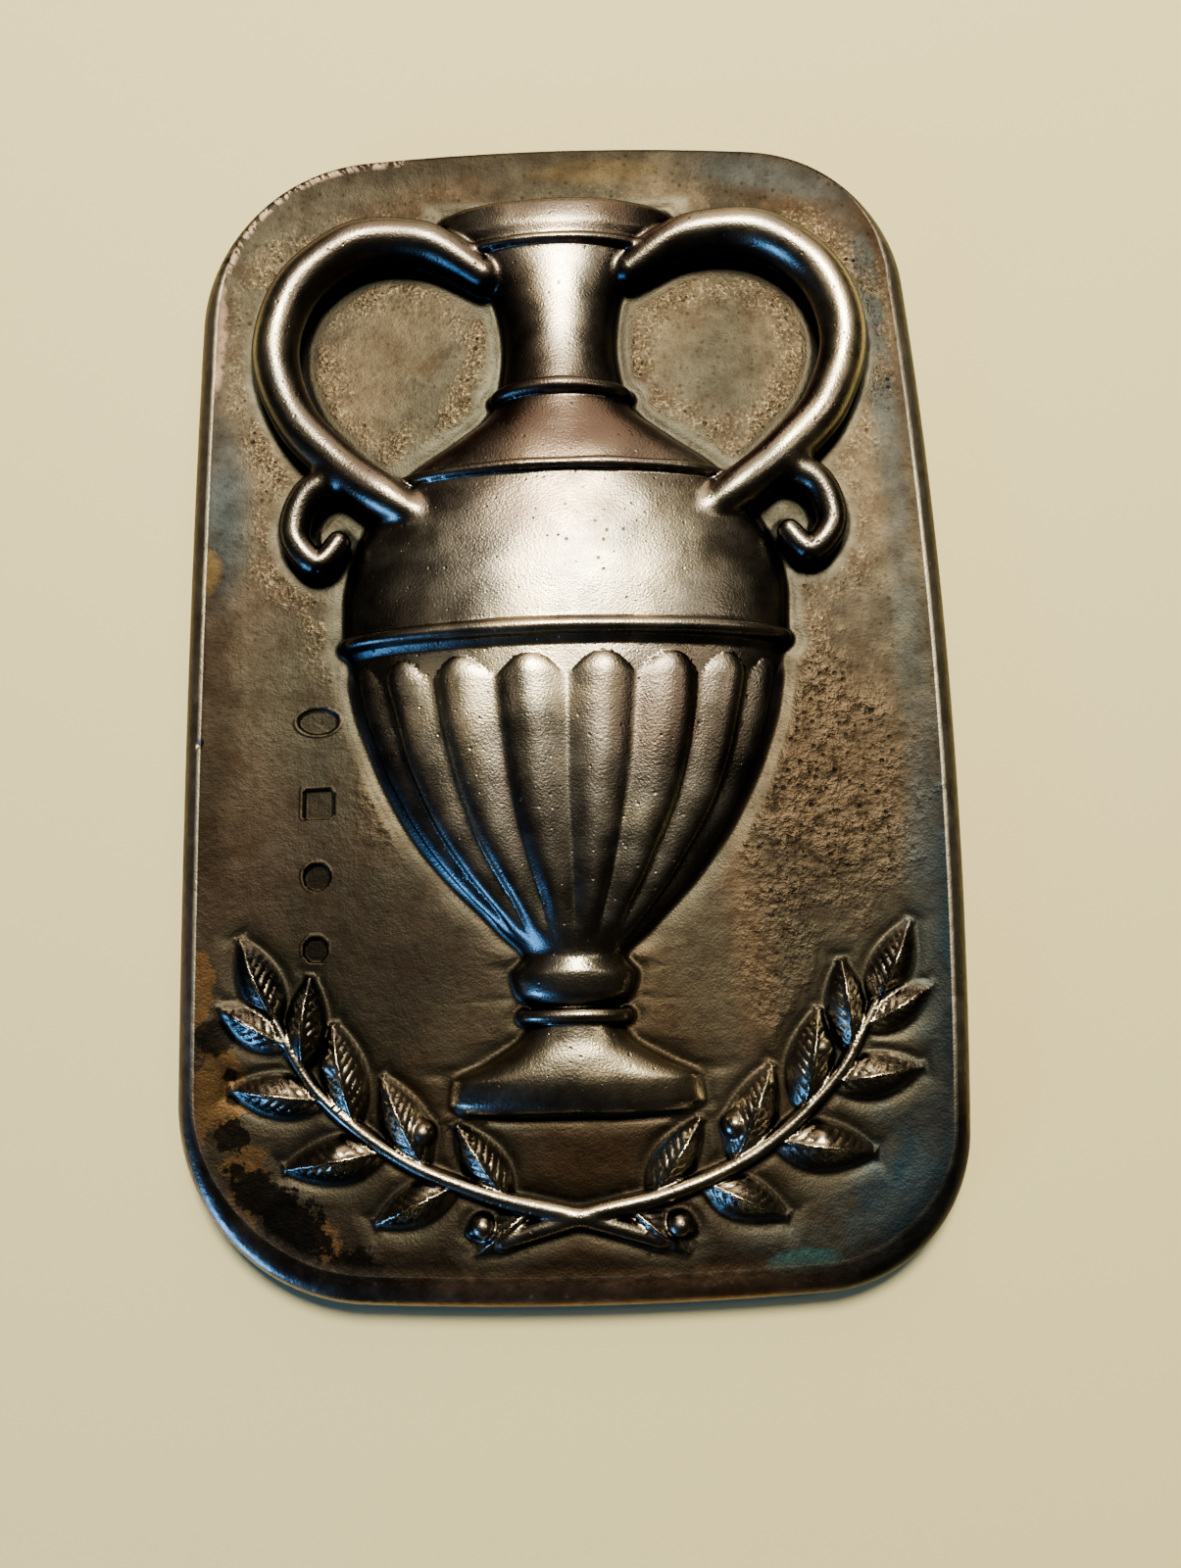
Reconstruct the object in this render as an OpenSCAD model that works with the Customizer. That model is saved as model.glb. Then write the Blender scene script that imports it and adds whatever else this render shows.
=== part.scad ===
// Cast silver plaquette, lying on its flat back.
// A rounded rectangular plate with bowed sides, a rolled edge and a dished field carries a raised
// two-handled vase above two crossed laurel sprigs. Four plain sunk punch marks stand in a column
// left of the vase. +Z is the relief side, +Y the top of the design, and the origin lies under the
// middle of the back. All sizes are in millimetres.

/* [Plate] */
// Width across the bowed sides
medal_w = 55.4; // [52:0.1:60]
// Height across the bowed ends
medal_h = 85.8; // [80:0.1:92]
// Thickness at the arris
plate_t = 3.4; // [3:0.1:5]
// Radius of the top left corner
corner_tl = 13.8; // [11:0.1:16]
// Radius of the top right corner
corner_tr = 12.5; // [11:0.1:16]
// Radius of the bottom right corner
corner_br = 11; // [11:0.1:16]
// Radius of the bottom left corner
corner_bl = 13.7; // [11:0.1:16]
// Outward bow of the left side
bow_left = 0.3; // [0.05:0.05:1.5]
// Outward bow of the right side
bow_right = 1.15; // [0.05:0.05:1.5]
// Outward bow of the top end
bow_top = 0.6; // [0.05:0.05:1.5]
// Outward bow of the bottom end
bow_bottom = 0.45; // [0.05:0.05:1.5]

/* [Edge and field] */
// Width of the rolled edge along the sides
roll_side = 1.25; // [0.3:0.05:1.5]
// Width of the rolled edge along the top
roll_top = 0.35; // [0.2:0.05:1.5]
// Width of the rolled edge along the bottom
roll_bottom = 1.9; // [0.5:0.05:2.2]
// Drop of the rolled edge from the arris to the side wall
roll_drop = 1.1; // [0.6:0.05:1.8]
// Rounding where the side wall meets the back
back_round = 0.7; // [0.2:0.05:1]
// Depth of the dished field below the arris
dish_depth = 0.75; // [0.2:0.05:1]
// Distance from the arris to the level part of the field
dish_run = 7.7; // [4:0.1:8.5]

/* [Relief] */
// Height of the vase relief above the field at its fullest
vase_rise = 4.3; // [2.5:0.1:5]
// Half-width of the vase at its fullest
vase_half_w = 16.1; // [13:0.1:16.5]
// Number of gadroons that show on the lower body
gadroons = 9; // [7:2:11]
// Depth of the grooves between the gadroons
gadroon_depth = 0.45; // [0:0.05:0.8]
// Radius of the handles at their thickest
handle_r = 1.75; // [0.9:0.05:1.9]
// Length of the longest leaf
leaf_l = 7; // [4:0.1:7.5]
// Half-width of the longest leaf
leaf_half_w = 1.45; // [0.7:0.05:1.5]
// Height of a leaf's midrib above the field
leaf_rise = 1.1; // [0.6:0.05:1.6]
// Radius of a berry
berry_r = 0.85; // [0.5:0.05:1.1]

/* [Punch marks] */
// Distance of the column of marks from the middle line
punch_x = 18.1; // [17.5:0.1:20]
// Depth of the marks
punch_depth = 0.3; // [0.1:0.05:0.6]

/* [Hidden] */

// Steps round each corner, along each side and along each end of the plate's outline
corner_steps = 8;
side_steps = 12;
end_steps = 7;
// Turn of the rolled edge from the side wall to the arris, where it meets the field at a ridge
arris_angle = 60;
roll_steps = 3;
// Rings along a handle, its scroll, a stem, a leaf and half a collar
handle_steps = 22;
scroll_steps = 10;
stem_steps = 14;
leaf_steps = 5;
collar_steps = 14;
// Sides of a handle, a scroll, a stem and a collar
handle_sides = 8;
scroll_sides = 7;
stem_sides = 6;
collar_sides = 5;
// The relief is sunk this far into the plate, so that it is one casting with it
root_depth = 1.2;
field_z = plate_t - dish_depth;
root_z = field_z - root_depth;
// The sunk sides of the vase and the leaves widen by this share down to their roots
root_flare = 1.12;
// Depth below the field at which the vase's arched section starts
seat_depth = 0.3;
// Half the turn of a collar round the vase, so that both of its ends are sunk
collar_turn = 102;
// Share of a leaf's length that is blunt at each end
leaf_tip = 0.03;
// Height of a leaf's edges, of its two ends and of a berry's middle above the field
leaf_edge = 0.15;
leaf_end = 0.2;
berry_lift = 0.35;
// Angle that a berry points away from its stem
berry_turn = 40;

function lerp(a, b, t) = a + (b - a) * t;
function clamp(v, lo, hi) = max(lo, min(hi, v));
function smooth(t) = let (c = clamp(t, 0, 1)) c * c * (3 - 2 * c);
function unit(v) = v / norm(v);

// A point on the smooth curve through the rows of a table, at s from 0 to its last row's number.
function curve_at(rows, s) =
    let (
        last = len(rows) - 1,
        k = clamp(floor(s), 0, last - 1),
        t = s - k,
        a = rows[max(k - 1, 0)],
        b = rows[k],
        c = rows[k + 1],
        d = rows[min(k + 2, last)]
    )
    0.5 * (2 * b + (c - a) * t + (2 * a - 5 * b + 4 * c - d) * t * t + (3 * b - a - 3 * c + d) * t * t * t);

// Slope of a bowed side where it meets its corners
function bow_angle(bow, length) = atan(4 * bow / length);
straight_h = medal_h - 2 * corner_tl;
straight_w = medal_w - 2 * corner_tl;
angle_left = bow_angle(bow_left, straight_h);
angle_right = bow_angle(bow_right, straight_h);
angle_top = bow_angle(bow_top, straight_w);
angle_bottom = bow_angle(bow_bottom, straight_w);

// Each corner: [side of X, side of Y, radius, bow beside, bow above or below, their end slopes]
CORNER_TL = [-1, 1, corner_tl, bow_left, bow_top, angle_left, angle_top];
CORNER_TR = [1, 1, corner_tr, bow_right, bow_top, angle_right, angle_top];
CORNER_BR = [1, -1, corner_br, bow_right, bow_bottom, angle_right, angle_bottom];
CORNER_BL = [-1, -1, corner_bl, bow_left, bow_bottom, angle_left, angle_bottom];

// A corner's arc as rows [x, y, normal's angle], from its side towards its end
function corner_arc(c) =
    let (
        cx = c[0] * (medal_w / 2 - c[3] - c[2] * cos(c[5])),
        cy = c[1] * (medal_h / 2 - c[4] - c[2] * cos(c[6]))
    )
    [for (k = [0:corner_steps])
        let (a = lerp(c[5], 90 - c[6], k / corner_steps))
        [cx + c[0] * c[2] * cos(a), cy + c[1] * c[2] * sin(a), atan2(c[1] * sin(a), c[0] * cos(a))]];

// A bowed side from row p to row q, without its two ends
function bowed_side(p, q, bow, steps) =
    let (
        chord = [q[0] - p[0], q[1] - p[1]],
        out = [-chord[1], chord[0]] / norm(chord)
    )
    [for (k = [1:steps - 1])
        let (
            t = k / steps,
            slope = atan(4 * bow * (1 - 2 * t) / norm(chord)),
            x = p[0] + chord[0] * t + out[0] * 4 * bow * t * (1 - t),
            y = p[1] + chord[1] * t + out[1] * 4 * bow * t * (1 - t)
        )
        [x, y, atan2(out[1], out[0]) + slope]];

function reverse(rows) = [for (k = [len(rows) - 1:-1:0]) rows[k]];

ARC_TL = corner_arc(CORNER_TL);
ARC_TR = reverse(corner_arc(CORNER_TR));
ARC_BR = corner_arc(CORNER_BR);
ARC_BL = reverse(corner_arc(CORNER_BL));

// The plate's outline, clockwise seen from the relief side, as rows [x, y, normal's angle]
OUTLINE = concat(
    ARC_TL,
    bowed_side(ARC_TL[corner_steps], ARC_TR[0], bow_top, end_steps),
    ARC_TR,
    bowed_side(ARC_TR[corner_steps], ARC_BR[0], bow_right, side_steps),
    ARC_BR,
    bowed_side(ARC_BR[corner_steps], ARC_BL[0], bow_bottom, end_steps),
    ARC_BL,
    bowed_side(ARC_BL[corner_steps], ARC_TL[0], bow_left, side_steps)
);

// Width of the rolled edge where the outline faces the angle a
function roll_at(a) =
    let (up = sin(a))
    up > 0 ? lerp(roll_side, roll_top, smooth(up)) : lerp(roll_side, roll_bottom, smooth(-up));

// One ring of the plate, set in from the outline by inset plus share of the rolled edge
function plate_ring(share, inset, z) =
    [for (p = OUTLINE)
        let (d = share * roll_at(p[2]) + inset)
        [p[0] - d * cos(p[2]), p[1] - d * sin(p[2]), z]];

// A closed solid through rings of the same number of points, with flat ends
module loft(rings) {
    n = len(rings[0]);
    last = len(rings) - 1;
    walls = [for (k = [0:last - 1], i = [0:n - 1])
        let (j = (i + 1) % n)
        [k * n + i, k * n + j, (k + 1) * n + j, (k + 1) * n + i]];
    first_cap = [for (i = [n - 1:-1:0]) i];
    last_cap = [for (i = [0:n - 1]) last * n + i];
    polyhedron(points = [for (r = rings, p = r) p], faces = concat(walls, [first_cap], [last_cap]));
}

// A round rod along a curve through rows [x, y, z, radius]
module rod(rows, steps, sides) {
    last = len(rows) - 1;
    loft([for (k = [0:steps])
        let (
            s = last * k / steps,
            p = curve_at(rows, s),
            ahead = curve_at(rows, min(s + 0.05, last)),
            behind = curve_at(rows, max(s - 0.05, 0)),
            along = unit([ahead[0] - behind[0], ahead[1] - behind[1], ahead[2] - behind[2]]),
            across = unit([along[1], -along[0], 0]),
            up = cross(across, along)
        )
        [for (i = [0:sides - 1])
            let (a = 360 * i / sides)
            [p[0], p[1], p[2]] + p[3] * (cos(a) * across + sin(a) * up)]]);
}

// The plate: flat back, side wall, rolled edge, arris and dished field
module plate() {
    wall_top = plate_t - roll_drop;
    back = [
        plate_ring(0, back_round, 0),
        plate_ring(0, back_round * 0.3, back_round * 0.3),
        plate_ring(0, 0, back_round)
    ];
    edge = [for (k = [0:roll_steps])
        let (
            a = arris_angle * k / roll_steps,
            share = (1 - cos(a)) / (1 - cos(arris_angle))
        )
        plate_ring(share, 0, wall_top + roll_drop * sin(a) / sin(arris_angle))];
    field = [for (t = [0.2:0.2:1])
        plate_ring(1, dish_run * t, plate_t - dish_depth * t * (2 - t))];
    loft(concat(back, edge, field));
}

// Sections of the vase from the foot to the lip: [y, share of the width, share of the rise, flutes]
VASE = [
    [-30.5, 0.47, 0.30, 0],
    [-29.6, 0.53, 0.42, 0],
    [-28.2, 0.52, 0.48, 0],
    [-27.0, 0.38, 0.47, 0],
    [-25.4, 0.23, 0.43, 0],
    [-23.6, 0.18, 0.42, 0],
    [-22.4, 0.25, 0.55, 0],
    [-21.2, 0.27, 0.58, 0],
    [-20.0, 0.22, 0.52, 0],
    [-18.0, 0.34, 0.62, 0.5],
    [-14.5, 0.55, 0.78, 1],
    [-10.5, 0.73, 0.88, 1],
    [-6.0, 0.87, 0.95, 1],
    [-1.5, 0.96, 0.99, 1],
    [1.8, 0.99, 1, 0.6],
    [2.6, 1, 1, 0],
    [6.0, 1, 1, 0],
    [9.5, 0.96, 0.98, 0],
    [13.0, 0.86, 0.93, 0],
    [16.0, 0.70, 0.85, 0],
    [18.5, 0.49, 0.74, 0],
    [20.2, 0.36, 0.66, 0],
    [22.0, 0.29, 0.60, 0],
    [25.5, 0.255, 0.56, 0],
    [29.0, 0.28, 0.57, 0],
    [32.0, 0.37, 0.62, 0],
    [34.2, 0.50, 0.68, 0],
    [35.2, 0.56, 0.72, 0],
    [36.6, 0.57, 0.70, 0],
    [37.4, 0.53, 0.58, 0]
];

// One section of the vase: an arch of half-ellipse form, with its flared feet sunk in the plate
function vase_section(row, sides) =
    let (
        w = vase_half_w * row[1],
        h = vase_rise * row[2] + seat_depth
    )
    concat(
        [[root_flare * w, row[0], root_z]],
        [for (i = [0:sides])
            let (
                a = -90 + 180 * i / sides,
                lobe = abs(cos(gadroons * (a + 90))),
                rise = h - gadroon_depth * row[3] * (1 - lobe)
            )
            [-w * sin(a), row[0], field_z - seat_depth + rise * cos(a)]],
        [[-root_flare * w, row[0], root_z]]
    );

module vase() {
    loft([for (row = VASE) vase_section(row, 4 * gadroons)]);
}

// Raised rings round the vase: [y, half-width, rise, thickness]
COLLARS = [
    [-24.0, 3.5, 1.9, 0.5],
    [2.6, 15.9, 4.35, 0.6],
    [14.9, 12.2, 3.95, 0.45],
    [21.6, 4.8, 2.7, 0.6],
    [33.6, 7.5, 2.9, 0.35]
];

// A half ring that hugs the vase across its front
module collar(row) {
    loft([for (k = [0:collar_steps])
        let (
            a = lerp(-collar_turn, collar_turn, k / collar_steps),
            out = [sin(a), 0, cos(a)],
            centre = [row[1] * sin(a), row[0], field_z + row[2] * cos(a)]
        )
        [for (i = [0:collar_sides - 1])
            let (b = 360 * i / collar_sides)
            centre + row[3] * (cos(b) * out + sin(b) * [0, 1, 0])]]);
}

// Path of the right handle, from under the lip round to the shoulder: [x, y, height, radius]
HANDLE = [
    [5.6, 31.8, 0.8, 0.75],
    [10.0, 34.3, 1.3, 0.95],
    [15.4, 34.2, 1.5, 1.0],
    [19.7, 30.8, 1.6, 1.0],
    [21.2, 25.4, 1.6, 1.0],
    [19.6, 20.0, 1.5, 0.98],
    [16.2, 16.2, 1.5, 0.95],
    [12.8, 13.6, 1.7, 0.9],
    [9.6, 11.6, 1.6, 0.6]
];

// Small scroll where a handle springs from the shoulder: [x, y, height, radius]
SCROLL = [
    [15.6, 15.6, 1.3, 0.7],
    [18.6, 14.2, 1.3, 0.7],
    [19.6, 11.2, 1.2, 0.66],
    [17.9, 9.0, 1.1, 0.6],
    [16.4, 10.6, 1.0, 0.5]
];

// The rows of a path with its heights measured from the field and its radii scaled by the handle's
function raised(rows) = [for (r = rows) [r[0], r[1], field_z + r[2], handle_r * r[3]]];

module handle() {
    rod(raised(HANDLE), handle_steps, handle_sides);
    rod(raised(SCROLL), scroll_steps, scroll_sides);
}

// Path of the right sprig's stem, from its cut end to its tip: [x, y, height, radius]
STEM = [
    [-5.2, -38.6, 0.3, 0.6],
    [0.4, -36.9, 0.75, 0.62],
    [6.2, -35.6, 0.5, 0.55],
    [12.4, -32.9, 0.4, 0.48],
    [17.6, -28.6, 0.35, 0.4],
    [20.6, -23.8, 0.3, 0.3]
];

// Leaves along a stem: [place on the stem, angle from the stem, share of the longest leaf]
LEAVES = [
    [1.45, -48, 0.72],
    [1.75, 42, 0.86],
    [2.3, -44, 0.88],
    [2.65, 40, 1],
    [3.1, -42, 1],
    [3.5, 38, 1],
    [3.9, -38, 0.92],
    [4.3, 36, 0.9],
    [4.6, -32, 0.82],
    [4.95, 4, 0.92]
];

// Berries along a stem: [place on the stem, distance to its side]
BERRIES = [
    [1.95, -2.1],
    [2.85, 2.2],
    [3.45, -2.1],
    [4.15, 2.0]
];

// The heading of the stem at s
function stem_angle(s) =
    let (
        last = len(STEM) - 1,
        a = curve_at(STEM, max(s - 0.05, 0)),
        b = curve_at(STEM, min(s + 0.05, last))
    )
    atan2(b[1] - a[1], b[0] - a[0]);

// A pointed leaf along +X with a raised midrib and a slight lift at its middle
module leaf(share) {
    across = [-1, -0.55, 0, 0.55, 1];
    crown = [0, 0.62, 1, 0.62, 0];
    loft([for (k = [0:leaf_steps])
        let (
            t = lerp(leaf_tip, 1 - leaf_tip, k / leaf_steps),
            w = leaf_half_w * share * pow(sin(180 * pow(t, 0.85)), 0.8),
            h = leaf_end + leaf_rise * share * sin(180 * t)
        )
        concat(
            [[leaf_l * share * t, -root_flare * w, root_z - field_z]],
            [for (i = [0:4]) [leaf_l * share * t, across[i] * w, lerp(leaf_edge, h, crown[i])]],
            [[leaf_l * share * t, root_flare * w, root_z - field_z]]
        )]);
}

// A round berry drawn out to a small point away from the stem
module berry() {
    hull() {
        scale([1, 1, 1.1]) sphere(r = berry_r, $fn = 10);
        translate([berry_r * 0.95, 0, 0]) sphere(r = berry_r * 0.35, $fn = 6);
    }
}

module sprig() {
    rod([for (r = STEM) [r[0], r[1], field_z + r[2], r[3]]], stem_steps, stem_sides);
    for (row = LEAVES) {
        p = curve_at(STEM, row[0]);
        translate([p[0], p[1], field_z]) rotate([0, 0, stem_angle(row[0]) + row[1]]) leaf(row[2]);
    }
    for (row = BERRIES) {
        p = curve_at(STEM, row[0]);
        a = stem_angle(row[0]);
        translate([p[0] - row[1] * sin(a), p[1] + row[1] * cos(a), field_z + berry_lift])
            rotate([0, 0, a + berry_turn * sign(row[1])]) berry();
    }
}

// Sunk marks from the top down: [y, length, width, sides], cut from the field
PUNCHES = [
    [-2.7, 2.9, 1.8, 24],
    [-8.6, 2.1, 2.1, 4],
    [-13.8, 1.9, 1.9, 24],
    [-18.9, 1.7, 1.7, 8]
];

module punches() {
    for (row = PUNCHES) {
        turn = 180 / row[3];
        translate([-punch_x, row[0], field_z - punch_depth])
            scale([row[1] / row[2], 1, 1])
                rotate([0, 0, turn])
                    cylinder(r = row[2] / 2 / cos(turn), h = punch_depth + 1, $fn = row[3]);
    }
}

// The whole casting is one solid
module medal() {
    color([0.42, 0.38, 0.31])
        difference() {
            union() {
                plate();
                vase();
                for (row = COLLARS) collar(row);
                for (side = [0, 1]) mirror([side, 0, 0]) {
                    handle();
                    sprig();
                }
            }
            punches();
        }
}

medal();
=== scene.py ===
"""Looks of a cast silver plaquette with a raised vase and laurel sprigs, lying on its back.

The casting is modelled as one closed skin. Its forms are written as distances in millimetres, the
skin is drawn where the joined distance is zero, and it is refined where it bends. The stains, pits,
rubbed edges and grime with painted shade in the hollows are shader node groups that read a few
measures kept on the skin. Painted glints, a painted arris highlight and painted reflections and
shade on the edge, the flanks and the lower field are laid into the colour as well.
"""
import logging
import math
from dataclasses import dataclass, fields
from enum import Enum

import bpy
import numpy as np
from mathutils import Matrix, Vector


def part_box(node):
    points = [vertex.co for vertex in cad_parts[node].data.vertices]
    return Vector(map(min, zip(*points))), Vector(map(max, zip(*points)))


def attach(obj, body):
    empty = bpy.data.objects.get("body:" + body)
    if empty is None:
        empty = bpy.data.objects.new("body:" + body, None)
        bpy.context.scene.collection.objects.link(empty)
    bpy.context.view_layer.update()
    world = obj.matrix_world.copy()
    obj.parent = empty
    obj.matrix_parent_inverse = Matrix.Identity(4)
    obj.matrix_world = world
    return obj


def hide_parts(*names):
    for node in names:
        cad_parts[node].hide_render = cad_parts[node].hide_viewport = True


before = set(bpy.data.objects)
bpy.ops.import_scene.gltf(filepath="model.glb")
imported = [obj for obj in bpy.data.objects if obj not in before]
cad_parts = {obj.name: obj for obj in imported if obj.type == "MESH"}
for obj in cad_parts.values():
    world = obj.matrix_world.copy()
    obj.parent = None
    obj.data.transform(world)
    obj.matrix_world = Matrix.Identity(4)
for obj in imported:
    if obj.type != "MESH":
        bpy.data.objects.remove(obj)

Array = np.ndarray
Box = tuple[float, float, float, float]
MM = 0.001
FAR = 4.0
REACH = 0.6 * FAR
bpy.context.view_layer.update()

logging.basicConfig(level=logging.INFO, format="%(name)s: %(message)s")
log = logging.getLogger("plaquette")


def soft_min(a: Array, b: Array, blend: float) -> Array:
    """Join two distances with a fillet.

    Args:
        a: Distances to the first form, in millimetres.
        b: Distances to the second form.
        blend: Width over which the two flow together.

    Returns:
        Distances to the joined form.
    """
    near = np.maximum(blend - np.abs(a - b), 0.0) / blend
    return np.minimum(a, b) - near * near * blend * 0.25


def soft_max(a: Array, b: Array, blend: float) -> Array:
    """Keep what two forms share, with an edge rounded over the width blend."""
    return -soft_min(-a, -b, blend)


def smooth_step(t: Array) -> Array:
    """Ease from 0 to 1 as t goes from 0 to 1, and stay level outside."""
    c = np.clip(t, 0.0, 1.0)
    return c * c * (3.0 - 2.0 * c)


def box_round(xs: tuple | Array, ys: tuple | Array, reach: float) -> Box:
    """The rectangle round some positions across and up, widened by the reach."""
    return (min(xs) - reach, max(xs) + reach, min(ys) - reach, max(ys) + reach)


def mirrored_rows(table: tuple, side: int, base: float, radius: float = 1.0) -> Array:
    """Set a rod's table on one side of the design and on the field.

    Args:
        table: Rows of x, y, height above the field and share of the radius.
        side: 1 as written, or -1 mirrored.
        base: Height of the field.
        radius: The full radius.

    Returns:
        Rows of x, y, z and radius.
    """
    rows = np.array(table)
    rows[:, 0] *= side
    rows[:, 2] += base
    rows[:, 3] *= radius
    return rows


def arch_distance(a: Array, b: Array, slope: Array) -> Array:
    """Distance from an arched section, from shares of its half-width and its rise.

    Args:
        a: Share of the half-width at each place.
        b: Share of the rise.
        slope: How fast the two shares change, times their length.

    Returns:
        Distances, negative inside.
    """
    least_length, least_slope = 0.05, 0.04
    k = np.maximum(np.sqrt(a * a + b * b), least_length)
    return (k - 1.0) / np.maximum(slope / k, least_slope)


class ProfileCurve:
    """A smooth curve through rows that never swings past them."""

    def __init__(self, places: Array, values: Array) -> None:
        """Fit the curve.

        Args:
            places: Rising positions of the rows.
            values: The value at each row.
        """
        self.places = np.asarray(places, float)
        self.values = np.asarray(values, float)
        self.steps = np.diff(self.places)
        rise = np.diff(self.values) / self.steps
        before, after = rise[:-1], rise[1:]
        same = before * after > 0
        total = np.where(same, before + after, 1.0)
        middle = np.where(same, 2.0 * before * after / total, 0.0)
        self.slopes = np.concatenate(([rise[0]], middle, [rise[-1]]))

    def at(self, place: Array) -> tuple[Array, Array]:
        """Value and slope at each place; past its ends the curve stays level.

        Args:
            place: Positions along the curve.

        Returns:
            The values and the slopes.
        """
        p = np.clip(place, self.places[0], self.places[-1])
        k = np.clip(np.searchsorted(self.places, p) - 1, 0, len(self.steps) - 1)
        h = self.steps[k]
        t = (p - self.places[k]) / h
        a, b = self.values[k], self.values[k + 1]
        ma, mb = self.slopes[k] * h, self.slopes[k + 1] * h
        t2, t3 = t * t, t * t * t
        value = (2 * t3 - 3 * t2 + 1) * a + (t3 - 2 * t2 + t) * ma
        value = value + (3 * t2 - 2 * t3) * b + (t3 - t2) * mb
        slope = ((6 * t2 - 6 * t) * (a - b) + (3 * t2 - 4 * t + 1) * ma + (3 * t2 - 2 * t) * mb) / h
        return value, slope


def curve_through(rows: Array, places: Array) -> Array:
    """Points on the round curve through the rows of a table.

    Args:
        rows: The table, one row for each point of the curve.
        places: Row numbers, with fractions between rows.

    Returns:
        One row for each place.
    """
    last = len(rows) - 1
    k = np.clip(np.floor(places).astype(int), 0, last - 1)
    t = (places - k)[:, None]
    a, b = rows[np.maximum(k - 1, 0)], rows[k]
    c, d = rows[k + 1], rows[np.minimum(k + 2, last)]
    cubic = 3 * b - a - 3 * c + d
    return 0.5 * (2 * b + (c - a) * t + (2 * a - 5 * b + 4 * c - d) * t**2 + cubic * t**3)


class Ripple:
    """Soft uneven ground in the plane: seeded values on a square lattice."""

    SIZE = 128

    def __init__(self, cell: float, seed: int) -> None:
        """Draw the lattice.

        Args:
            cell: Spacing of the lattice in millimetres.
            seed: Seed of its values.
        """
        self.cell = cell
        self.table = np.random.default_rng(seed).uniform(-1.0, 1.0, (self.SIZE, self.SIZE))

    def at(self, x: Array, y: Array) -> Array:
        """Height of the ground.

        Args:
            x: Positions across.
            y: Positions up.

        Returns:
            Heights between -1 and 1.
        """
        u, v = x / self.cell + 0.5 * self.SIZE, y / self.cell + 0.5 * self.SIZE
        i, j = np.floor(u).astype(int), np.floor(v).astype(int)
        s, t = smooth_step(u - i), smooth_step(v - j)
        i0, j0 = i % self.SIZE, j % self.SIZE
        i1, j1 = (i + 1) % self.SIZE, (j + 1) % self.SIZE
        low = self.table[i0, j0] * (1 - s) + self.table[i1, j0] * s
        high = self.table[i0, j1] * (1 - s) + self.table[i1, j1] * s
        return low * (1 - t) + high * t


class PlaneMap:
    """Values on a square grid in the plane, read back smoothly."""

    # Cells at the far end that the cubic reads past a point, and a little more
    MARGIN = 2.001

    def __init__(self, xs: Array, ys: Array, values: Array) -> None:
        """Keep a grid.

        Args:
            xs: Evenly spaced positions across.
            ys: Evenly spaced positions up.
            values: One value for each pair of positions.
        """
        self.x0, self.y0 = xs[0], ys[0]
        self.step = xs[1] - xs[0]
        self.values = values

    def at(self, x: Array, y: Array) -> Array:
        """Value at each point, by cubic interpolation.

        Args:
            x: Positions across.
            y: Positions up.

        Returns:
            The values.
        """
        nx, ny = self.values.shape
        u = np.clip((x - self.x0) / self.step, 1.0, nx - self.MARGIN)
        v = np.clip((y - self.y0) / self.step, 1.0, ny - self.MARGIN)
        i, j = np.floor(u).astype(int), np.floor(v).astype(int)
        wu, wv = self.weights(u - i), self.weights(v - j)
        total = 0.0
        for a in range(4):
            for b in range(4):
                total = total + wu[a] * wv[b] * self.values[i + a - 1, j + b - 1]
        return total

    @staticmethod
    def weights(t: Array) -> tuple[Array, Array, Array, Array]:
        """Share out a value among the four nearest neighbours.

        Args:
            t: How far each place lies from the second to the third of them.

        Returns:
            Their shares.
        """
        t2, t3 = t * t, t * t * t
        return (
            0.5 * (2 * t2 - t - t3),
            0.5 * (2 - 5 * t2 + 3 * t3),
            0.5 * (t + 4 * t2 - 3 * t3),
            0.5 * (t3 - t2),
        )


class Samples:
    """Places to measure: a regular block or a loose list, in millimetres."""

    def __init__(self, x: Array, y: Array, z: Array, block: bool) -> None:
        """Keep the places.

        Args:
            x: Positions across, shaped to broadcast with y and z.
            y: Positions up the design.
            z: Heights above the back.
            block: Whether the places are the crossings of three axes.
        """
        self.x, self.y, self.z, self.block = x, y, z, block
        self.shape = np.broadcast(x, y, z).shape
        self.flat_shape = np.broadcast(x, y).shape
        self.hand_x: Array = np.broadcast_to(x, self.flat_shape)
        self.hand_y: Array = np.broadcast_to(y, self.flat_shape)

    @classmethod
    def lattice(cls, xs: Array, ys: Array, zs: Array) -> "Samples":
        """Every crossing of three axes."""
        return cls(xs[:, None, None], ys[None, :, None], zs[None, None, :], True)

    @classmethod
    def loose(cls, points: Array) -> "Samples":
        """A list of points, one to a row."""
        return cls(points[:, 0], points[:, 1], points[:, 2], False)

    def sway(self, across: Array, up: Array) -> None:
        """Shift the plane as a hand-cut pattern strays, by across and up in millimetres."""
        self.hand_x = self.x + across
        self.hand_y = self.y + up

    def within(self, box: Box) -> tuple:
        """The places over a rectangle of the plane.

        Args:
            box: Left, right, bottom and top of the rectangle.

        Returns:
            The selection, and the swayed x, the swayed y and the z of the places in it.
        """
        left, right, bottom, top = box
        if self.block:
            i = slice(*np.searchsorted(self.x[:, 0, 0], (left, right)))
            j = slice(*np.searchsorted(self.y[0, :, 0], (bottom, top)))
            return (i, j), self.hand_x[i, j], self.hand_y[i, j], self.z
        inside = (self.x > left) & (self.x < right) & (self.y > bottom) & (self.y < top)
        at = np.flatnonzero(inside)
        return at, self.hand_x[at], self.hand_y[at], self.z[at]


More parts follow.
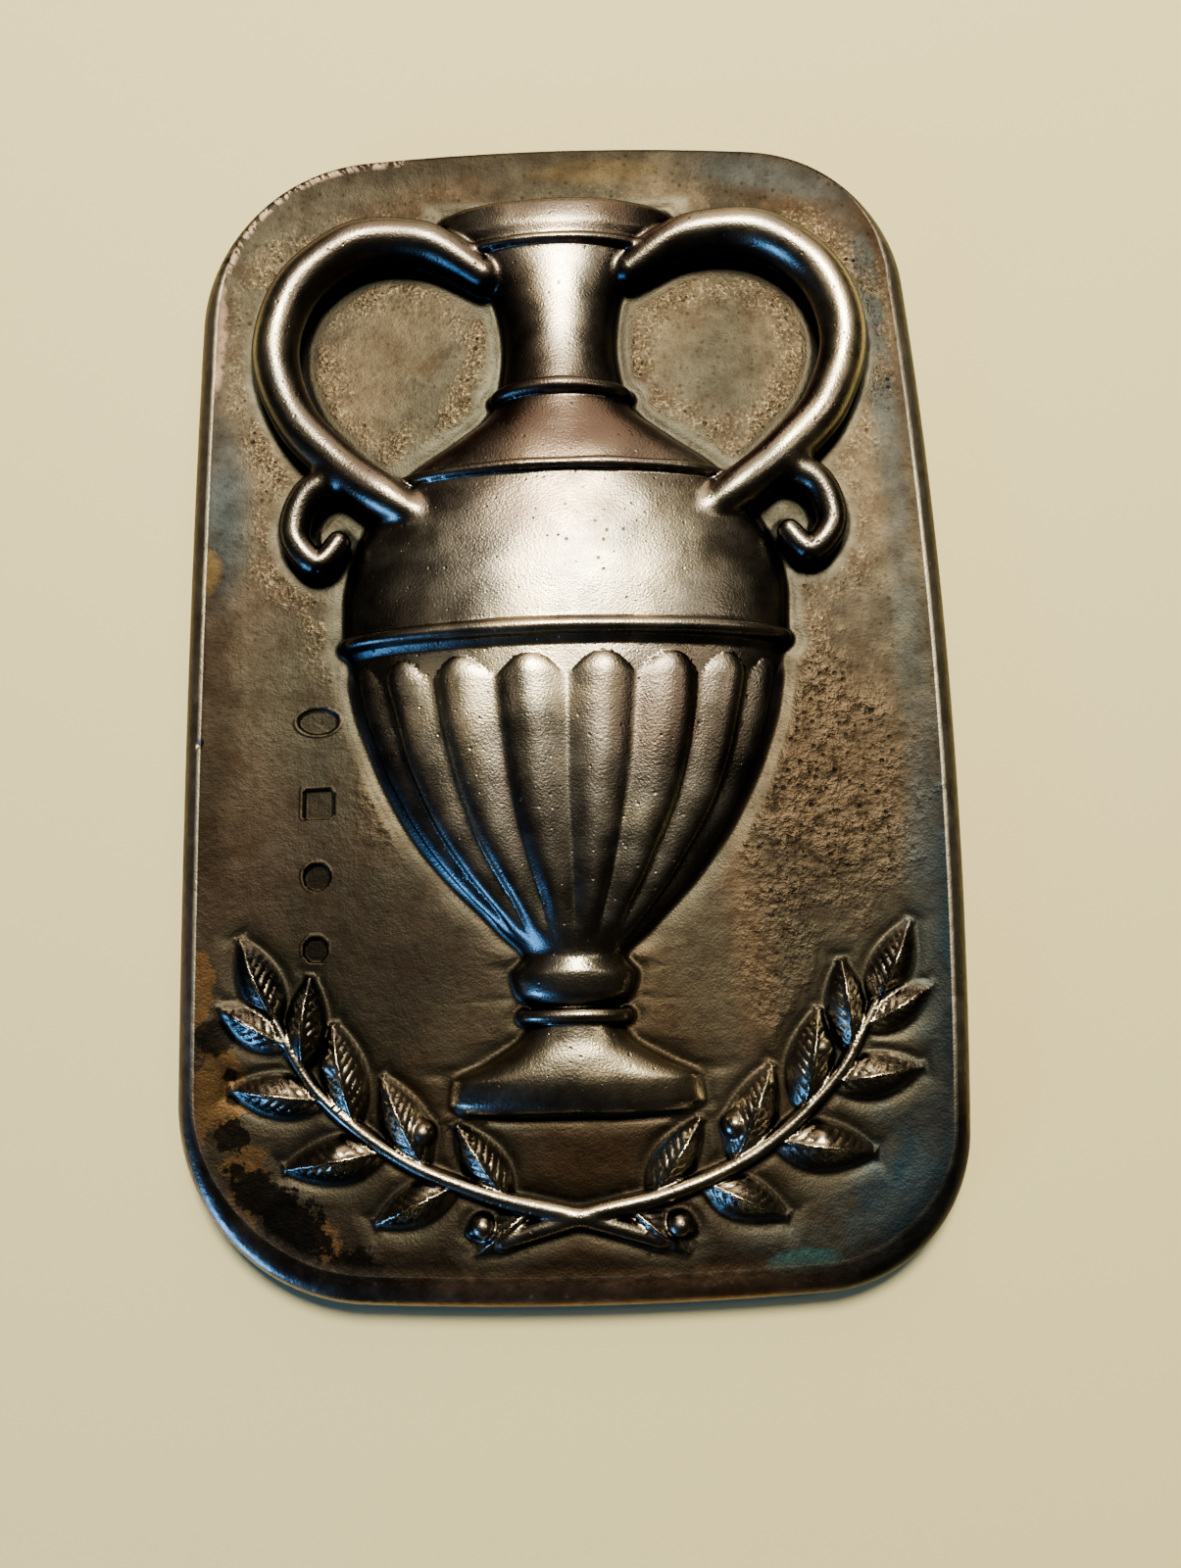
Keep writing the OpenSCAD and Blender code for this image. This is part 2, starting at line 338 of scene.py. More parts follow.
@dataclass(frozen=True)
class PlateForm:
    """The rounded rectangular plate: bowed sides, a rolled edge, an arris and a dished field."""

    width: float
    height: float
    thickness: float = 3.4
    corner_radii: tuple[float, float, float, float] = (13.8, 12.5, 11.0, 13.7)
    bow_left: float = 0.3
    bow_right: float = 1.15
    bow_top: float = 0.6
    bow_bottom: float = 0.45
    roll_side: float = 1.25
    roll_top: float = 0.35
    roll_bottom: float = 1.9
    roll_drop: float = 1.1
    arris_angle: float = math.radians(60.0)
    arris_round: float = 0.1
    shoulder_round: float = 1.3
    back_round: float = 0.7
    dish_depth: float = 0.75
    dish_run: float = 7.7
    arc_steps: int = 40
    map_step: float = 0.35
    map_reach: float = 2.5
    least_share: float = 1e-3
    past_arris: float = -0.5

    @property
    def field_z(self) -> float:
        """Height of the level part of the field above the back."""
        return self.thickness - self.dish_depth

    def outline(self) -> Array:
        """The outline, clockwise from the left end of the top left corner.

        Returns:
            Rows of x, y and the angle of the outward normal in radians.
        """
        tall = self.height - 2 * self.corner_radii[0]
        wide = self.width - 2 * self.corner_radii[0]
        ends = {
            "left": (self.bow_left, math.atan(4 * self.bow_left / tall)),
            "right": (self.bow_right, math.atan(4 * self.bow_right / tall)),
            "top": (self.bow_top, math.atan(4 * self.bow_top / wide)),
            "bottom": (self.bow_bottom, math.atan(4 * self.bow_bottom / wide)),
        }
        corners = (
            (-1, 1, "left", "top", False),
            (1, 1, "right", "top", True),
            (1, -1, "right", "bottom", False),
            (-1, -1, "left", "bottom", True),
        )
        arcs = []
        for radius, (sx, sy, side, end, flip) in zip(self.corner_radii, corners):
            (bow_x, slope_x), (bow_y, slope_y) = ends[side], ends[end]
            cx = sx * (self.width / 2 - bow_x - radius * math.cos(slope_x))
            cy = sy * (self.height / 2 - bow_y - radius * math.cos(slope_y))
            a = np.linspace(slope_x, math.pi / 2 - slope_y, self.arc_steps + 1)
            angle = np.arctan2(sy * np.sin(a), sx * np.cos(a))
            arc = np.stack((cx + radius * np.cos(angle), cy + radius * np.sin(angle), angle), 1)
            arcs.append(arc[::-1] if flip else arc)
        rows = []
        for k, bow in enumerate((self.bow_top, self.bow_right, self.bow_bottom, self.bow_left)):
            rows += [arcs[k], self.bowed_side(arcs[k][-1], arcs[(k + 1) % 4][0], bow)]
        return np.concatenate(rows)

    def bowed_side(self, start: Array, stop: Array, bow: float) -> Array:
        """The rows of a bowed side between two corners, without its ends.

        Args:
            start: Last row of the corner before it.
            stop: First row of the corner after it.
            bow: How far its middle stands out from its chord.

        Returns:
            Rows of x, y and the angle of the outward normal.
        """
        chord = stop[:2] - start[:2]
        length = float(np.hypot(*chord))
        out = np.array((-chord[1], chord[0])) / length
        t = np.linspace(0, 1, self.arc_steps + 1)[1:-1]
        xy = start[:2] + t[:, None] * chord + (4 * bow * t * (1 - t))[:, None] * out
        angle = math.atan2(out[1], out[0]) + np.arctan(4 * bow * (1 - 2 * t) / length)
        return np.concatenate((xy, angle[:, None]), 1)

    def maps(self) -> tuple[PlaneMap, PlaneMap]:
        """Depth in from the outline, and width of the rolled edge, over the plane.

        Returns:
            Two maps, both in millimetres.
        """
        rows = self.outline()
        a = rows[:, :2]
        ab = np.roll(a, -1, axis=0) - a
        reach = self.map_reach
        xs = np.arange(-self.width / 2 - reach, self.width / 2 + reach, self.map_step)
        ys = np.arange(-self.height / 2 - reach, self.height / 2 + reach, self.map_step)
        depth = np.empty((len(xs), len(ys)))
        roll = np.empty_like(depth)
        every = np.arange(len(ys))
        for i, x in enumerate(xs):
            ax, ay = x - a[None, :, 0], ys[:, None] - a[None, :, 1]
            t = np.clip((ax * ab[:, 0] + ay * ab[:, 1]) / (ab * ab).sum(1), 0.0, 1.0)
            far = np.hypot(ax - t * ab[:, 0], ay - t * ab[:, 1])
            k = far.argmin(1)
            side = ab[k, 0] * ay[every, k] - ab[k, 1] * ax[0, k]
            depth[i] = far[every, k] * np.where(side < 0, 1.0, -1.0)
            up = np.sin(rows[k, 2])
            end = np.where(up > 0, self.roll_top, self.roll_bottom)
            roll[i] = self.roll_side + (end - self.roll_side) * smooth_step(np.abs(up))
        return PlaneMap(xs, ys, depth), PlaneMap(xs, ys, roll)

    def distance(self, depth: Array, roll: Array, z: Array) -> Array:
        """Distance from the plate above its side wall.

        Args:
            depth: How far in from the outline each place lies.
            roll: Width of the rolled edge there.
            z: Height above the back.

        Returns:
            Distances, negative inside.
        """
        share = 1.0 - math.cos(self.arris_angle)
        across = roll / share
        rise = self.roll_drop / math.sin(self.arris_angle)
        u = np.maximum(across - depth, 0.0)
        v = np.maximum(z - (self.thickness - self.roll_drop), 0.0)
        q = np.maximum(np.sqrt((u / across) ** 2 + (v / rise) ** 2), self.least_share)
        slope = np.sqrt((u / across**2) ** 2 + (v / rise**2) ** 2) / q
        rolled = (q - 1.0) / np.maximum(slope, 1.0 / np.maximum(across, rise))
        t = np.clip((depth - roll) / self.dish_run, self.past_arris, 1.0)
        fall = 2 * self.dish_depth * (1 - t) / self.dish_run
        level = (z - self.thickness + self.dish_depth * t * (2 - t)) / np.sqrt(1 + fall**2)
        wider = np.clip(roll - self.roll_side, 0.0, 1.0)
        return soft_max(rolled, level, self.arris_round + self.shoulder_round * wider)


class Rod:
    """A round rod of changing thickness along a smooth curve."""

    SPACING = 0.8
    CLOSE = 1e-6
    STRIDE = 0.02
    LONGEST_MOVE = 0.3
    ROUNDS = 2

    def __init__(self, rows: Array) -> None:
        """Lay out the rod.

        Args:
            rows: Rows of x, y, z and radius that the curve runs through.
        """
        self.rows = np.asarray(rows, float)
        self.last = len(self.rows) - 1
        length = np.linalg.norm(np.diff(self.rows[:, :3], axis=0), axis=1).sum()
        self.places = np.linspace(0, self.last, int(length / self.SPACING) + 2)
        self.points = curve_through(self.rows, self.places)
        reach = self.points[:, 3].max() + REACH
        self.box = box_round(self.points[:, 0], self.points[:, 1], reach)

    def distance(self, x: Array, y: Array, z: Array) -> Array:
        """Distance from the rod's skin.

        Args:
            x: Positions across.
            y: Positions up the design.
            z: Heights above the back.

        Returns:
            Distances, negative inside.
        """
        shape = np.broadcast(x, y, z).shape
        q = np.stack([np.broadcast_to(v, shape).ravel() for v in (x, y, z)], 1)
        knots = self.points[:, :3]
        gap = (knots * knots).sum(1) - 2 * q @ knots.T
        s = self.places[gap.argmin(1)]
        for _ in range(self.ROUNDS):
            ahead, behind = np.minimum(s + self.STRIDE, self.last), np.maximum(s - self.STRIDE, 0.0)
            a, b = curve_through(self.rows, ahead), curve_through(self.rows, behind)
            along = (a[:, :3] - b[:, :3]) / (ahead - behind)[:, None]
            here = curve_through(self.rows, s)
            move = ((q - here[:, :3]) * along).sum(1) / np.maximum((along * along).sum(1), self.CLOSE)
            s = np.clip(s + np.clip(move, -self.LONGEST_MOVE, self.LONGEST_MOVE), 0.0, self.last)
        here = curve_through(self.rows, s)
        return (np.linalg.norm(q - here[:, :3], axis=1) - here[:, 3]).reshape(shape)


@dataclass(frozen=True)
class VaseForm:
    """The raised vase: arched sections, gadroons, an end at foot and lip, and collars."""

    field_z: float
    half_width: float = 16.1
    rise: float = 4.3
    seat: float = 0.3
    gadroons: int = 9
    gadroon_depth: float = 0.45
    gadroon_fade: float = 0.8
    front_reach: float = 1.75
    front_fade: float = 0.3
    end_round: float = 0.35
    tongue: float = 1.7
    groove_round: float = 0.03
    collar_overhang: float = 1.0
    collar_blend: float = 0.22

    # Height up the vase, and the shares of the half-width and of the rise there
    SECTIONS = (
        (-30.5, 0.47, 0.30),
        (-29.6, 0.53, 0.42),
        (-28.2, 0.52, 0.48),
        (-27.0, 0.38, 0.47),
        (-25.4, 0.23, 0.43),
        (-23.6, 0.18, 0.42),
        (-22.4, 0.25, 0.55),
        (-21.2, 0.27, 0.58),
        (-20.0, 0.22, 0.52),
        (-18.0, 0.34, 0.62),
        (-14.5, 0.55, 0.78),
        (-10.5, 0.73, 0.88),
        (-6.0, 0.87, 0.95),
        (-1.5, 0.96, 0.99),
        (2.6, 1.0, 1.0),
        (6.0, 1.0, 1.0),
        (9.5, 0.96, 0.98),
        (13.0, 0.86, 0.93),
        (16.0, 0.70, 0.85),
        (18.5, 0.49, 0.74),
        (20.2, 0.36, 0.66),
        (22.0, 0.29, 0.60),
        (25.5, 0.255, 0.56),
        (29.0, 0.28, 0.57),
        (32.0, 0.37, 0.62),
        (34.2, 0.50, 0.68),
        (35.2, 0.56, 0.72),
        (36.6, 0.57, 0.70),
        (37.4, 0.53, 0.58),
    )
    # Height up the vase, half-width, rise and thickness of each ring
    COLLARS = (
        (-24.0, 3.5, 1.9, 0.5),
        (2.6, 15.9, 4.35, 0.6),
        (14.9, 12.2, 3.95, 0.45),
        (21.6, 4.8, 2.7, 0.6),
        (33.6, 7.5, 2.9, 0.35),
    )
    FLUTES_FROM = -19.5
    FLUTES_FULL = -15.5
    FLUTES_TO = 0.9
    FLUTES_PAST = 0.4

    @property
    def box(self) -> Box:
        """The rectangle that the vase and its surroundings fill."""
        side = self.half_width + self.collar_overhang
        return box_round((-side, side), (self.SECTIONS[0][0], self.SECTIONS[-1][0]), REACH)

    def distance(self, x: Array, y: Array, z: Array) -> Array:
        """Distance from the vase with its gadroons and collars.

        Args:
            x: Positions across.
            y: Positions up the design.
            z: Heights above the back.

        Returns:
            Distances, negative inside.
        """
        table = np.array(self.SECTIONS)
        w, w_slope = ProfileCurve(table[:, 0], self.half_width * table[:, 1]).at(y)
        h, h_slope = ProfileCurve(table[:, 0], self.rise * table[:, 2] + self.seat).at(y)
        dz = z - self.field_z + self.seat
        a, b = x / w, dz / h
        gx, gz = a / w, b / h
        gy = a * a * w_slope / w + b * b * h_slope / h
        skin = arch_distance(a, b, np.sqrt(gx * gx + gy * gy + gz * gz))
        skin = skin + self.groove(np.arctan2(a, b), y)
        skin = soft_max(skin, y - self.SECTIONS[-1][0], self.end_round)
        skin = soft_max(skin, self.SECTIONS[0][0] - y, self.end_round)
        for place, wide, rise, thick in self.COLLARS:
            a, b = x / wide, (z - self.field_z) / rise
            away = arch_distance(a, b, np.sqrt((a / wide) ** 2 + (b / rise) ** 2))
            skin = soft_min(skin, np.hypot(away, y - place) - thick, self.collar_blend)
        return skin

    def groove(self, turn: Array, y: Array) -> Array:
        """Depth cut between the gadroons.

        Args:
            turn: Angle round the vase, nil at its front.
            y: Position up the vase.

        Returns:
            Depths in millimetres.
        """
        lobe = np.cos(self.gadroons * (turn + math.pi / 2)) ** 2
        past = np.maximum(y - self.FLUTES_TO + self.tongue, 0.0) / self.tongue
        crown = np.sqrt(np.maximum(lobe - past * past, 0.0) + self.groove_round)
        start = smooth_step((y - self.FLUTES_FROM) / (self.FLUTES_FULL - self.FLUTES_FROM))
        stop = 1.0 - smooth_step((y - self.FLUTES_TO - self.FLUTES_PAST) / self.gadroon_fade)
        front = smooth_step((self.front_reach - np.abs(turn)) / self.front_fade)
        return self.gadroon_depth * (1.0 - crown) * start * stop * front


@dataclass(frozen=True)
class Leaf:
    """A pointed leaf with a raised midrib and shallow veins."""

    root_x: float
    root_y: float
    heading: float
    share: float
    field_z: float
    length: float = 7.0
    half_width: float = 1.45
    blunt: float = 0.02
    rise: float = 1.1
    end_lift: float = 0.2
    edge_lift: float = 0.15
    edge_round: float = 0.22
    root_skew: float = 0.85
    fullness: float = 0.8
    crown_power: float = 1.7
    vein_gap: float = 0.72
    vein_depth: float = 0.09
    vein_slant: float = 1.1
    rib_width: float = 0.17
    rib_rise: float = 0.16
    fade: float = 0.3
    tip_fade: float = 0.2
    top_slack: float = 0.8
    side_slack: float = 0.9
    surroundings: float = 2.6

    @property
    def box(self) -> Box:
        """The rectangle that the leaf and its surroundings fill.

        Returns:
            Its left, right, bottom and top.
        """
        tip_x = self.root_x + self.length * self.share * math.cos(self.heading)
        tip_y = self.root_y + self.length * self.share * math.sin(self.heading)
        return box_round((self.root_x, tip_x), (self.root_y, tip_y), self.surroundings)

    def distance(self, x: Array, y: Array, z: Array) -> Array:
        """Distance from the leaf.

        Args:
            x: Positions across.
            y: Positions up the design.
            z: Heights above the back.

        Returns:
            Distances, negative inside.
        """
        c, s = math.cos(self.heading), math.sin(self.heading)
        dx, dy = x - self.root_x, y - self.root_y
        long = self.length * self.share
        along, across = dx * c + dy * s, np.abs(dy * c - dx * s)
        t = np.clip(along / long, self.blunt, 1.0 - self.blunt)
        wide = self.half_width * self.share * np.sin(math.pi * t**self.root_skew) ** self.fullness
        crest = self.end_lift + self.rise * self.share * np.sin(math.pi * t)
        v = np.minimum(across / wide, 1.0)
        crown = 1.0 - v**self.crown_power
        top = self.edge_lift + (crest - self.edge_lift) * crown
        phase = (along - self.vein_slant * across) / self.vein_gap
        vein = np.abs(phase - np.round(phase)) * 2.0
        shown = smooth_step(v / self.fade) * smooth_step((1 - v) / self.fade)
        top = top - self.vein_depth * (1.0 - vein) ** 2 * (shown * smooth_step((1 - t) / self.tip_fade))
        rib = np.exp(-((across / self.rib_width) ** 2))
        top = top + self.rib_rise * rib * smooth_step((1 - t) / self.fade)
        over = (z - self.field_z - top) * self.top_slack
        past = np.maximum(-along, along - long)
        side = np.maximum((across - wide) * self.side_slack, past)
        return soft_max(over, side, self.edge_round)


@dataclass(frozen=True)
class Berry:
    """A round berry drawn out to a small point."""

    x: float
    y: float
    heading: float
    field_z: float
    radius: float = 0.85
    lift: float = 0.35
    tip_place: float = 0.95
    tip_radius: float = 0.33
    tip_blend: float = 0.3
    surroundings: float = 3.2

    @property
    def box(self) -> Box:
        """The rectangle that the berry and its surroundings fill."""
        return box_round((self.x,), (self.y,), self.surroundings)

    def distance(self, x: Array, y: Array, z: Array) -> Array:
        """Distance from the berry.

        Args:
            x: Positions across.
            y: Positions up the design.
            z: Heights above the back.

        Returns:
            Distances, negative inside.
        """
        dx, dy, dz = x - self.x, y - self.y, z - self.field_z - self.lift
        ball = np.sqrt(dx * dx + dy * dy + dz * dz) - self.radius
        px = dx - self.tip_place * self.radius * math.cos(self.heading)
        py = dy - self.tip_place * self.radius * math.sin(self.heading)
        tip = np.sqrt(px * px + py * py + dz * dz) - self.tip_radius * self.radius
        return soft_min(ball, tip, self.tip_blend)


@dataclass(frozen=True)
class SprigForm:
    """A laurel sprig: a stem with leaves and berries, turned to one side or the other."""

    field_z: float
    side: int

    # Position across and up, height of the middle above the field, and radius
    STEM = (
        (-5.2, -38.6, 0.3, 0.6),
        (0.4, -36.9, 0.75, 0.62),
        (6.2, -35.6, 0.5, 0.55),
        (12.4, -32.9, 0.4, 0.48),
        (17.6, -28.6, 0.35, 0.4),
        (20.6, -23.8, 0.3, 0.3),
    )
    # Place along the stem's rows, turn from the stem in degrees, and share of the full size
    LEAVES = (
        (1.45, -48, 0.72),
        (1.75, 42, 0.86),
        (2.3, -44, 0.88),
        (2.65, 40, 1.0),
        (3.1, -42, 1.0),
        (3.5, 38, 1.0),
        (3.9, -38, 0.92),
        (4.3, 36, 0.9),
        (4.6, -32, 0.82),
        (4.95, 4, 0.92),
    )
    # Place along the stem's rows, and distance to one side of the stem
    BERRIES = ((1.95, -2.1), (2.85, 2.2), (3.45, -2.1), (4.15, 2.0))
    BERRY_TURN = math.radians(40)
    STRIDE = 0.05

    def place(self, rows: Array, s: float) -> tuple[float, float, float]:
        """Position and heading of the stem at one place.

        Args:
            rows: The stem's rows.
            s: Row number, with a fraction between rows.

        Returns:
            The position across and up, and the heading in radians.
        """
        ends = np.array((s, min(s + self.STRIDE, len(rows) - 1), max(s - self.STRIDE, 0.0)))
        here, ahead, behind = curve_through(rows, ends)[:, :2]
        return here[0], here[1], math.atan2(ahead[1] - behind[1], ahead[0] - behind[0])

    def forms(self) -> list[Rod | Leaf | Berry]:
        """Make the stem, the leaves and the berries.

        Returns:
            The forms.
        """
        rows = mirrored_rows(self.STEM, self.side, self.field_z)
        found: list[Rod | Leaf | Berry] = [Rod(rows)]
        for s, turn, share in self.LEAVES:
            x, y, a = self.place(rows, s)
            found.append(Leaf(x, y, a + self.side * math.radians(turn), share, self.field_z))
        for s, off in self.BERRIES:
            x, y, a = self.place(rows, s)
            shift = off * self.side
            heading = a + math.copysign(self.BERRY_TURN, shift)
            bx, by = x - shift * math.sin(a), y + shift * math.cos(a)
            found.append(Berry(bx, by, heading, self.field_z))
        return found


@dataclass(frozen=True)
class HandleForm:
    """A handle and the small scroll where it springs from the shoulder."""

    field_z: float
    side: int
    radius: float = 1.75

    # Position across and up, height of the middle above the field, and share of the radius
    HANDLE = (
        (5.6, 31.8, 0.8, 0.75),
        (10.0, 34.3, 1.3, 0.95),
        (15.4, 34.2, 1.5, 1.0),
        (19.7, 30.8, 1.6, 1.0),
        (21.2, 25.4, 1.6, 1.0),
        (19.6, 20.0, 1.5, 0.98),
        (16.2, 16.2, 1.5, 0.95),
        (12.8, 13.6, 1.7, 0.9),
        (9.6, 11.6, 1.6, 0.6),
    )
    SCROLL = (
        (15.6, 15.6, 1.3, 0.7),
        (18.6, 14.2, 1.3, 0.7),
        (19.6, 11.2, 1.2, 0.66),
        (17.9, 9.0, 1.1, 0.6),
        (16.4, 10.6, 1.0, 0.5),
    )

    def forms(self) -> list[Rod]:
        """Make the handle's rod and the scroll's."""
        tables = (self.HANDLE, self.SCROLL)
        return [Rod(mirrored_rows(table, self.side, self.field_z, self.radius)) for table in tables]


@dataclass(frozen=True)
class PunchForm:
    """A plain sunk punch mark with straight sides."""

    x: float
    y: float
    length: float
    width: float
    sides: int
    floor_z: float
    draft: float = 0.35
    widest_draft: float = 0.14
    foot: float = 0.05
    floor_round: float = 0.08
    surroundings: float = 2.6

    @property
    def box(self) -> Box:
        """The rectangle that the mark and its surroundings fill."""
        return box_round((self.x,), (self.y,), self.surroundings)

    def outside(self, x: Array, y: Array) -> Array:
        """How far outside the mark's outline each place lies.

        Args:
            x: Positions across.
            y: Positions up the design.

        Returns:
            Distances, negative inside.
        """
        u, v = (x - self.x) * self.width / self.length, y - self.y
        wall = np.full(np.shape(u + v), -np.inf)
        for k in range(self.sides):
            a = 2 * math.pi * k / self.sides
            wall = np.maximum(wall, u * math.cos(a) + v * math.sin(a) - self.width / 2)
        return wall

    def distance(self, x: Array, y: Array, z: Array) -> Array:
        """Distance from the sunk space at each place."""
        draft = np.clip(self.draft * (z - self.floor_z), 0.0, self.widest_draft)
        return soft_max(self.outside(x, y) - draft + self.foot, self.floor_z - z, self.floor_round)


class Casting:
    """The whole casting as one distance: plate, relief, tooled edge of the relief and marks."""

    SWAY = 0.16
    WOBBLE = 0.05
    WAVE = 0.045
    WAVE_RUN = 2.5
    DIMPLE = 0.016
    EDGE_DIMPLES = 0.3
    INSIDE_FROM = 0.3
    INSIDE_RUN = 2.0
    UNEVEN_FROM_Z = 1.5
    UNEVEN_RUN = 0.8
    HALO_DEPTH = 0.11
    HALO_WIDTH = 0.85
    HALO_PLACE = 0.35
    FILLET = 0.4
    VASE_BLEND = 0.3
    HANDLE_BLEND = 0.55
    SPRIG_BLEND = 0.25
    STEP = 0.02
    MAP_STEP = 0.3
    MAP_LEVEL = 0.12
    MAP_MARGIN = 2.0
    PUNCH_X = -18.1
    PUNCH_DEPTH = 0.3
    PUNCH_ROUND = 0.07
    # Position up, length, width and number of sides of each mark
    PUNCHES = ((-2.7, 2.9, 1.8, 24), (-8.6, 2.1, 2.1, 4), (-13.8, 1.9, 1.9, 24), (-18.9, 1.7, 1.7, 8))
    # Position across, up and above the back, and radius
    NICK = (-26.5, -4.4, 3.66, 0.42)
    NICK_BOX = 2.0
    NICK_ROUND = 0.1

    def __init__(self, plate: PlateForm) -> None:
        """Gather the forms.

        Args:
            plate: Sizes of the plate that carries them.
        """
        z = plate.field_z
        self.plate = plate
        self.depth, self.roll = plate.maps()
        handles = [rod for side in (1, -1) for rod in HandleForm(z, side).forms()]
        sprigs = [form for side in (1, -1) for form in SprigForm(z, side).forms()]
        self.raised = (
            ((VaseForm(z),), self.VASE_BLEND),
            (handles, self.HANDLE_BLEND),
            (sprigs, self.SPRIG_BLEND),
        )
        floor = z - self.PUNCH_DEPTH
        self.punches = [PunchForm(self.PUNCH_X, y, a, b, n, floor) for y, a, b, n in self.PUNCHES]
        self.sway_across, self.sway_up = Ripple(8.5, 11), Ripple(9.5, 12)
        self.wave, self.dimple, self.wobble = Ripple(4.6, 13), Ripple(1.7, 14), Ripple(3.1, 15)
        self.near = self.map_near()

    def relief(self, at: Samples) -> Array:
        """Distance from the vase, handles and sprigs alone.

        Args:
            at: The places to measure.

        Returns:
            Distances, negative inside.
        """
        at.sway(self.SWAY * self.sway_across.at(at.x, at.y), self.SWAY * self.sway_up.at(at.x, at.y))
        out = np.full(at.shape, FAR)
        for forms, blend in self.raised:
            for form in forms:
                sel, x, y, z = at.within(form.box)
                out[sel] = soft_min(out[sel], form.distance(x, y, z), blend)
        return out + self.WOBBLE * self.wobble.at(at.x, at.y)

    def map_near(self) -> PlaneMap:
        """Measure how far each place on the ground lies from the relief.

        Returns:
            A map of the distances.
        """
        side, end = self.plate.width / 2 + self.MAP_MARGIN, self.plate.height / 2 + self.MAP_MARGIN
        xs, ys = np.arange(-side, side, self.MAP_STEP), np.arange(-end, end, self.MAP_STEP)
        level = np.array((self.plate.field_z + self.MAP_LEVEL,))
        return PlaneMap(xs, ys, self.relief(Samples.lattice(xs, ys, level))[:, :, 0])

    def ground(self, at: Samples) -> Array:
        """Distance from the plate with its uneven, tooled surface.

        Args:
            at: The places to measure.

        Returns:
            Distances, negative inside.
        """
        depth, roll = self.depth.at(at.x, at.y), self.roll.at(at.x, at.y)
        near = self.near.at(at.x, at.y)
        inside = smooth_step((depth - roll - self.INSIDE_FROM) / self.INSIDE_RUN)
        lift = self.WAVE * self.wave.at(at.x, at.y) * smooth_step(depth / self.WAVE_RUN)
        dimpled = self.EDGE_DIMPLES + (1.0 - self.EDGE_DIMPLES) * inside
        lift = lift + self.DIMPLE * self.dimple.at(at.x, at.y) * dimpled
        channel = np.exp(-(((near - self.HALO_PLACE) / (0.5 * self.HALO_WIDTH)) ** 2))
        lift = lift - self.HALO_DEPTH * channel * inside
        uneven = smooth_step((at.z - self.UNEVEN_FROM_Z) / self.UNEVEN_RUN)
        return self.plate.distance(depth, roll, at.z - lift * uneven)

    def parts(self, at: Samples) -> tuple[Array, Array]:
        """Distances from the two parts that the whole is joined from.

        Args:
            at: The places to measure.

        Returns:
            Distances from the ground with its marks, and from the relief.
        """
        ground = self.ground(at)
        relief = self.relief(at)
        for punch in self.punches:
            sel, x, y, z = at.within(punch.box)
            ground[sel] = soft_max(ground[sel], -punch.distance(x, y, z), self.PUNCH_ROUND)
        nx, ny, nz, radius = self.NICK
        sel, x, y, z = at.within(box_round((nx,), (ny,), self.NICK_BOX))
        nick = np.sqrt((x - nx) ** 2 + (y - ny) ** 2 + (z - nz) ** 2) - radius
        ground[sel] = soft_max(ground[sel], -nick, self.NICK_ROUND)
        return ground, relief

    def distance(self, at: Samples) -> Array:
        """Distance from the whole casting, negative inside."""
        ground, relief = self.parts(at)
        return soft_min(ground, relief, self.FILLET)

    def at_points(self, points: Array) -> Array:
        """Distance from the whole casting at loose points."""
        return self.distance(Samples.loose(points))

    def slope(self, points: Array) -> Array:
        """Rate of change of the distance.

        Args:
            points: Loose points, one to a row.

        Returns:
            One row for each point, pointing out of the casting.
        """
        out = np.zeros_like(points)
        for corner in ((1, 1, 1), (1, -1, -1), (-1, 1, -1), (-1, -1, 1)):
            way = np.array(corner, float)
            out += way * self.at_points(points + self.STEP * way)[:, None]
        return out / (4 * self.STEP)


